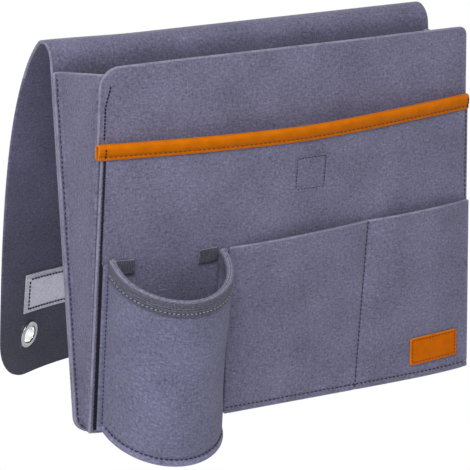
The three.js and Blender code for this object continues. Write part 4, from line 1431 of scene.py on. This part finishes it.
def binding_swell(d):
    return 0.2 * smooth(d) + 0.8 * groove(d - BINDING_INSET, *BINDING_GROOVE) + 0.2 * smooth((d - 6) / 3)


def make_holder_binding():
    leg = np.array([0, 0.3, 0.9, 1.5, 2.0, 2.5, 3.2, 4.5, 6.0, 7.2, 8.0])
    k = np.linspace(ROUND_START, ROUND_END, 120)
    inner, outer = folded_strip(
        BINDING_HEIGHT, leg, np.linspace(0, math.pi, 11), TAPE, binding_swell, lambda _: 0.4,
        lambda up, out: holder(k, 1.0, up + binding_rise(k), out),
    )
    row = np.arange(len(inner))
    # Rows furthest from both edges lie on the fold and take the painted highlight
    from_edge = np.minimum(row, row[::-1])[:, None]
    uv = uv_of(np.interp(k, STATIONS, HOLDER_WALK), from_edge)
    obj = sheet("bottle_holder_tape", inner, outer, uv, [binding_tape, tape_groove_painted_shade, tape_border], TAPE_RIM)
    # Rows of the front leg between these heights take the dark tape, a painted shade line along the stitches
    low, high = BINDING_SHADE_BAND
    chosen = np.zeros((len(inner) - 1, len(k) - 1), bool)
    chosen[:len(leg) - 1] = ((leg[:-1] >= low) & (leg[1:] <= high))[:, None]
    set_cells(obj, chosen, 1)
    return finish_piece(obj, "tape", "caddy", "bottle_holder_binding")


def make_holder_stitches():
    path = [(np.interp(k, STATIONS, HOLDER_WALK), 0.0) for k in (ROUND_START + 0.5, ROUND_END - 0.5)]

    def on_binding(walk, _, lift):
        k = np.interp(walk, HOLDER_WALK, STATIONS)
        up = BINDING_INSET - BINDING_HEIGHT + binding_rise(k)
        return holder(k, 1.0, up, FELT / 2 + GAP + TAPE + lift)

    def on_wall(walk, _, lift):
        return holder(np.interp(walk, HOLDER_WALK, STATIONS), 0.0, HOLDER_STITCH, FELT / 2 + lift)

    sew("binding_stitches", path, on_binding, BINDING_ROW, "bottle_holder_binding_thread")
    sew("holder_base_stitches", path, on_wall, BASE_ROW, "bottle_holder_base_thread")


def make_tab(hand, word):
    """An end of the binding, folded in: a flat of tape on the pocket that lifts a little at its tip."""
    station = ROUND_START if hand < 0 else ROUND_END
    start = (PLAN_LOW + PLAN_RISE)[station, 0] - hand * (FELT / 2 + 2 * GAP + TAPE)
    line = np.array([0, 0.4, 1.2])
    r, c = grid(edged_line(line, 2.2, TAB_HEIGHT, 5), edged_line(line, 2.5, TAB_LENGTH, 8))
    x, v = np.broadcast_arrays(start - hand * c, HOLDER_RIM - TAB_HEIGHT + r)
    seat = GAP + np.maximum(TAB_LIFT * smooth(c / TAB_LENGTH) + 0.35 * np.sin(c / 3.2 + r / 4), 0)
    inner, outer = on_pocket(x, v, seat), on_pocket(x, v, seat + TAPE)
    obj = sheet(f"binding_end_{word}", inner, outer, uv_of(v, x), [tape, tape_border], TAPE_RIM)
    return finish_piece(obj, "tape", "caddy", f"binding_tab_{word}")


def make_holder_seams():
    """Dense dark stitches up the pocket's left side, beside the holder's flange, that also stand in as painted
    shade for the gap there, and a row in its crease that also stands in for the crease's shade line.
    """
    below_trim = float(pocket_top(-front_half(POCKET_HEIGHT))) - TRIM_HEIGHT - 1
    below_rim = HOLDER_RIM - 1
    for word, inset, top in (("outer", SIDE_SEAM + 0.7, below_trim), ("inner", SIDE_SEAM + 1.6, below_rim)):
        sew(f"holder_seam_shade_{word}", seam_path(-1, inset, np.linspace(2, top, 80)), on_pocket, HOLDER_SEAM_SHADE_ROW)
    tall = HOLDER_RIM - HOLDER_BOTTOM
    crease = HOLDER_FLANGES + 0.6

    def in_crease(_, b, lift):
        return holder(crease, b / tall, 0.0, FELT / 2 + lift)

    sew("holder_crease_shade_stitches", [(0, 5), (0, tall - 9)], in_crease, CREASE_SHADE_ROW)


holder_piece = make_holder_wall()
make_holder_seams()
base_piece = make_holder_base()
binding_piece = make_holder_binding()
make_holder_stitches()
tabs = [make_tab(-1, "left"), make_tab(1, "right")]

# Stage, light and camera, in metres and watts
FLOOR_RADIUS = 1.1
FLOOR_PLACE = (0, 0.04, -0.56)
FLOOR_RINGS = 6
FLOOR_SIDES = 72
WORLD_LIGHT = 0.35
LAMPS = (
    ("key", (-0.45, -0.95, 0.85), (0, -0.05, 0), 0.8, 10),
    ("side", (-2.2, -0.6, 0.7), (0, 0, 0), 1.2, 11.5),
    ("low", (-0.8, -0.9, -0.45), (-0.1, 0.1, -0.05), 0.6, 1.7),
    ("rear", (0.6, 2.0, 1.0), (0, 0.05, 0), 1.6, 22),
)
CAMERA_PLACE = (-0.97305, -1.77601, 0.34624)
CAMERA_TURN = math.radians(28.302)
CAMERA_TILT = math.radians(10.552)
CAMERA_ROLL = math.radians(-2.9722)
IMAGE_PIXELS = 470
FOCAL_PIXELS = 2765.57
SENSOR = 36


def make_floor():
    material, tree, shader = new_material("floor")
    tone = noise(tree, object_place(tree), 2.0, 2.0, 0.5)
    tint = ramp(tree, tone, [(0.3, (0.86, 0.86, 0.87)), (0.7, (0.9, 0.9, 0.9))])
    tree.links.new(tint, shader.inputs["Base Color"])
    shader.inputs["Roughness"].default_value = 0.9
    radius, turn = grid(np.arange(1, FLOOR_RINGS + 1), np.arange(FLOOR_SIDES) * 2 * math.pi / FLOOR_SIDES)
    radius = FLOOR_RADIUS * radius / FLOOR_RINGS
    points = stack(radius * np.cos(turn), radius * np.sin(turn), 0).reshape(-1, 3)
    rings = list(1 + np.arange(len(points)).reshape(FLOOR_RINGS, FLOOR_SIDES))
    middle = [(0, a, b) for a, b in zip(rings[0], np.roll(rings[0], -1))]
    obj = mesh_object("floor", [(0, 0, 0), *points], middle + flipped(bands(rings)), [material])
    obj.location = FLOOR_PLACE


def make_world():
    world = bpy.data.worlds.new("studio")
    bpy.context.scene.world = world
    world.use_nodes = True
    tree = world.node_tree
    background = tree.nodes["Background"]
    background.inputs["Color"].default_value = (1.0, 1.0, 1.0, 1)
    path = node(tree, "ShaderNodeLightPath")
    seen = math_node(tree, "MAXIMUM", path.outputs["Is Camera Ray"], path.outputs["Is Glossy Ray"])
    seen = math_node(tree, "MAXIMUM", seen, path.outputs["Is Transmission Ray"])
    tree.links.new(spread(tree, seen, WORLD_LIGHT, 1.0), background.inputs["Strength"])


def make_lamp(name, place, target, size, power):
    lamp = bpy.data.lights.new(name, "AREA")
    lamp.shape = "DISK"
    lamp.size = size
    lamp.energy = power
    obj = bpy.data.objects.new(name, lamp)
    obj.location = place
    obj.rotation_euler = (Vector(target) - Vector(place)).to_track_quat("-Z", "Y").to_euler()
    obj.visible_camera = False
    bpy.context.scene.collection.objects.link(obj)


def make_camera():
    level = math.cos(CAMERA_TILT)
    right = Vector((math.cos(CAMERA_TURN), -math.sin(CAMERA_TURN), 0))
    ahead = Vector((math.sin(CAMERA_TURN) * level, math.cos(CAMERA_TURN) * level, -math.sin(CAMERA_TILT)))
    up = right.cross(ahead)
    across = right * math.cos(CAMERA_ROLL) + up * math.sin(CAMERA_ROLL)
    upward = up * math.cos(CAMERA_ROLL) - right * math.sin(CAMERA_ROLL)
    camera = bpy.data.objects.new("camera", bpy.data.cameras.new("camera"))
    camera.data.sensor_width = SENSOR
    camera.data.lens = FOCAL_PIXELS / IMAGE_PIXELS * SENSOR
    camera.data.clip_end = 50
    camera.matrix_world = Matrix((across, upward, -ahead)).transposed().to_4x4()
    camera.location = CAMERA_PLACE
    bpy.context.scene.collection.objects.link(camera)
    bpy.context.scene.camera = camera


make_floor()
make_world()
for lamp_values in LAMPS:
    make_lamp(*lamp_values)
make_camera()
bpy.context.scene.view_settings.view_transform = "Standard"
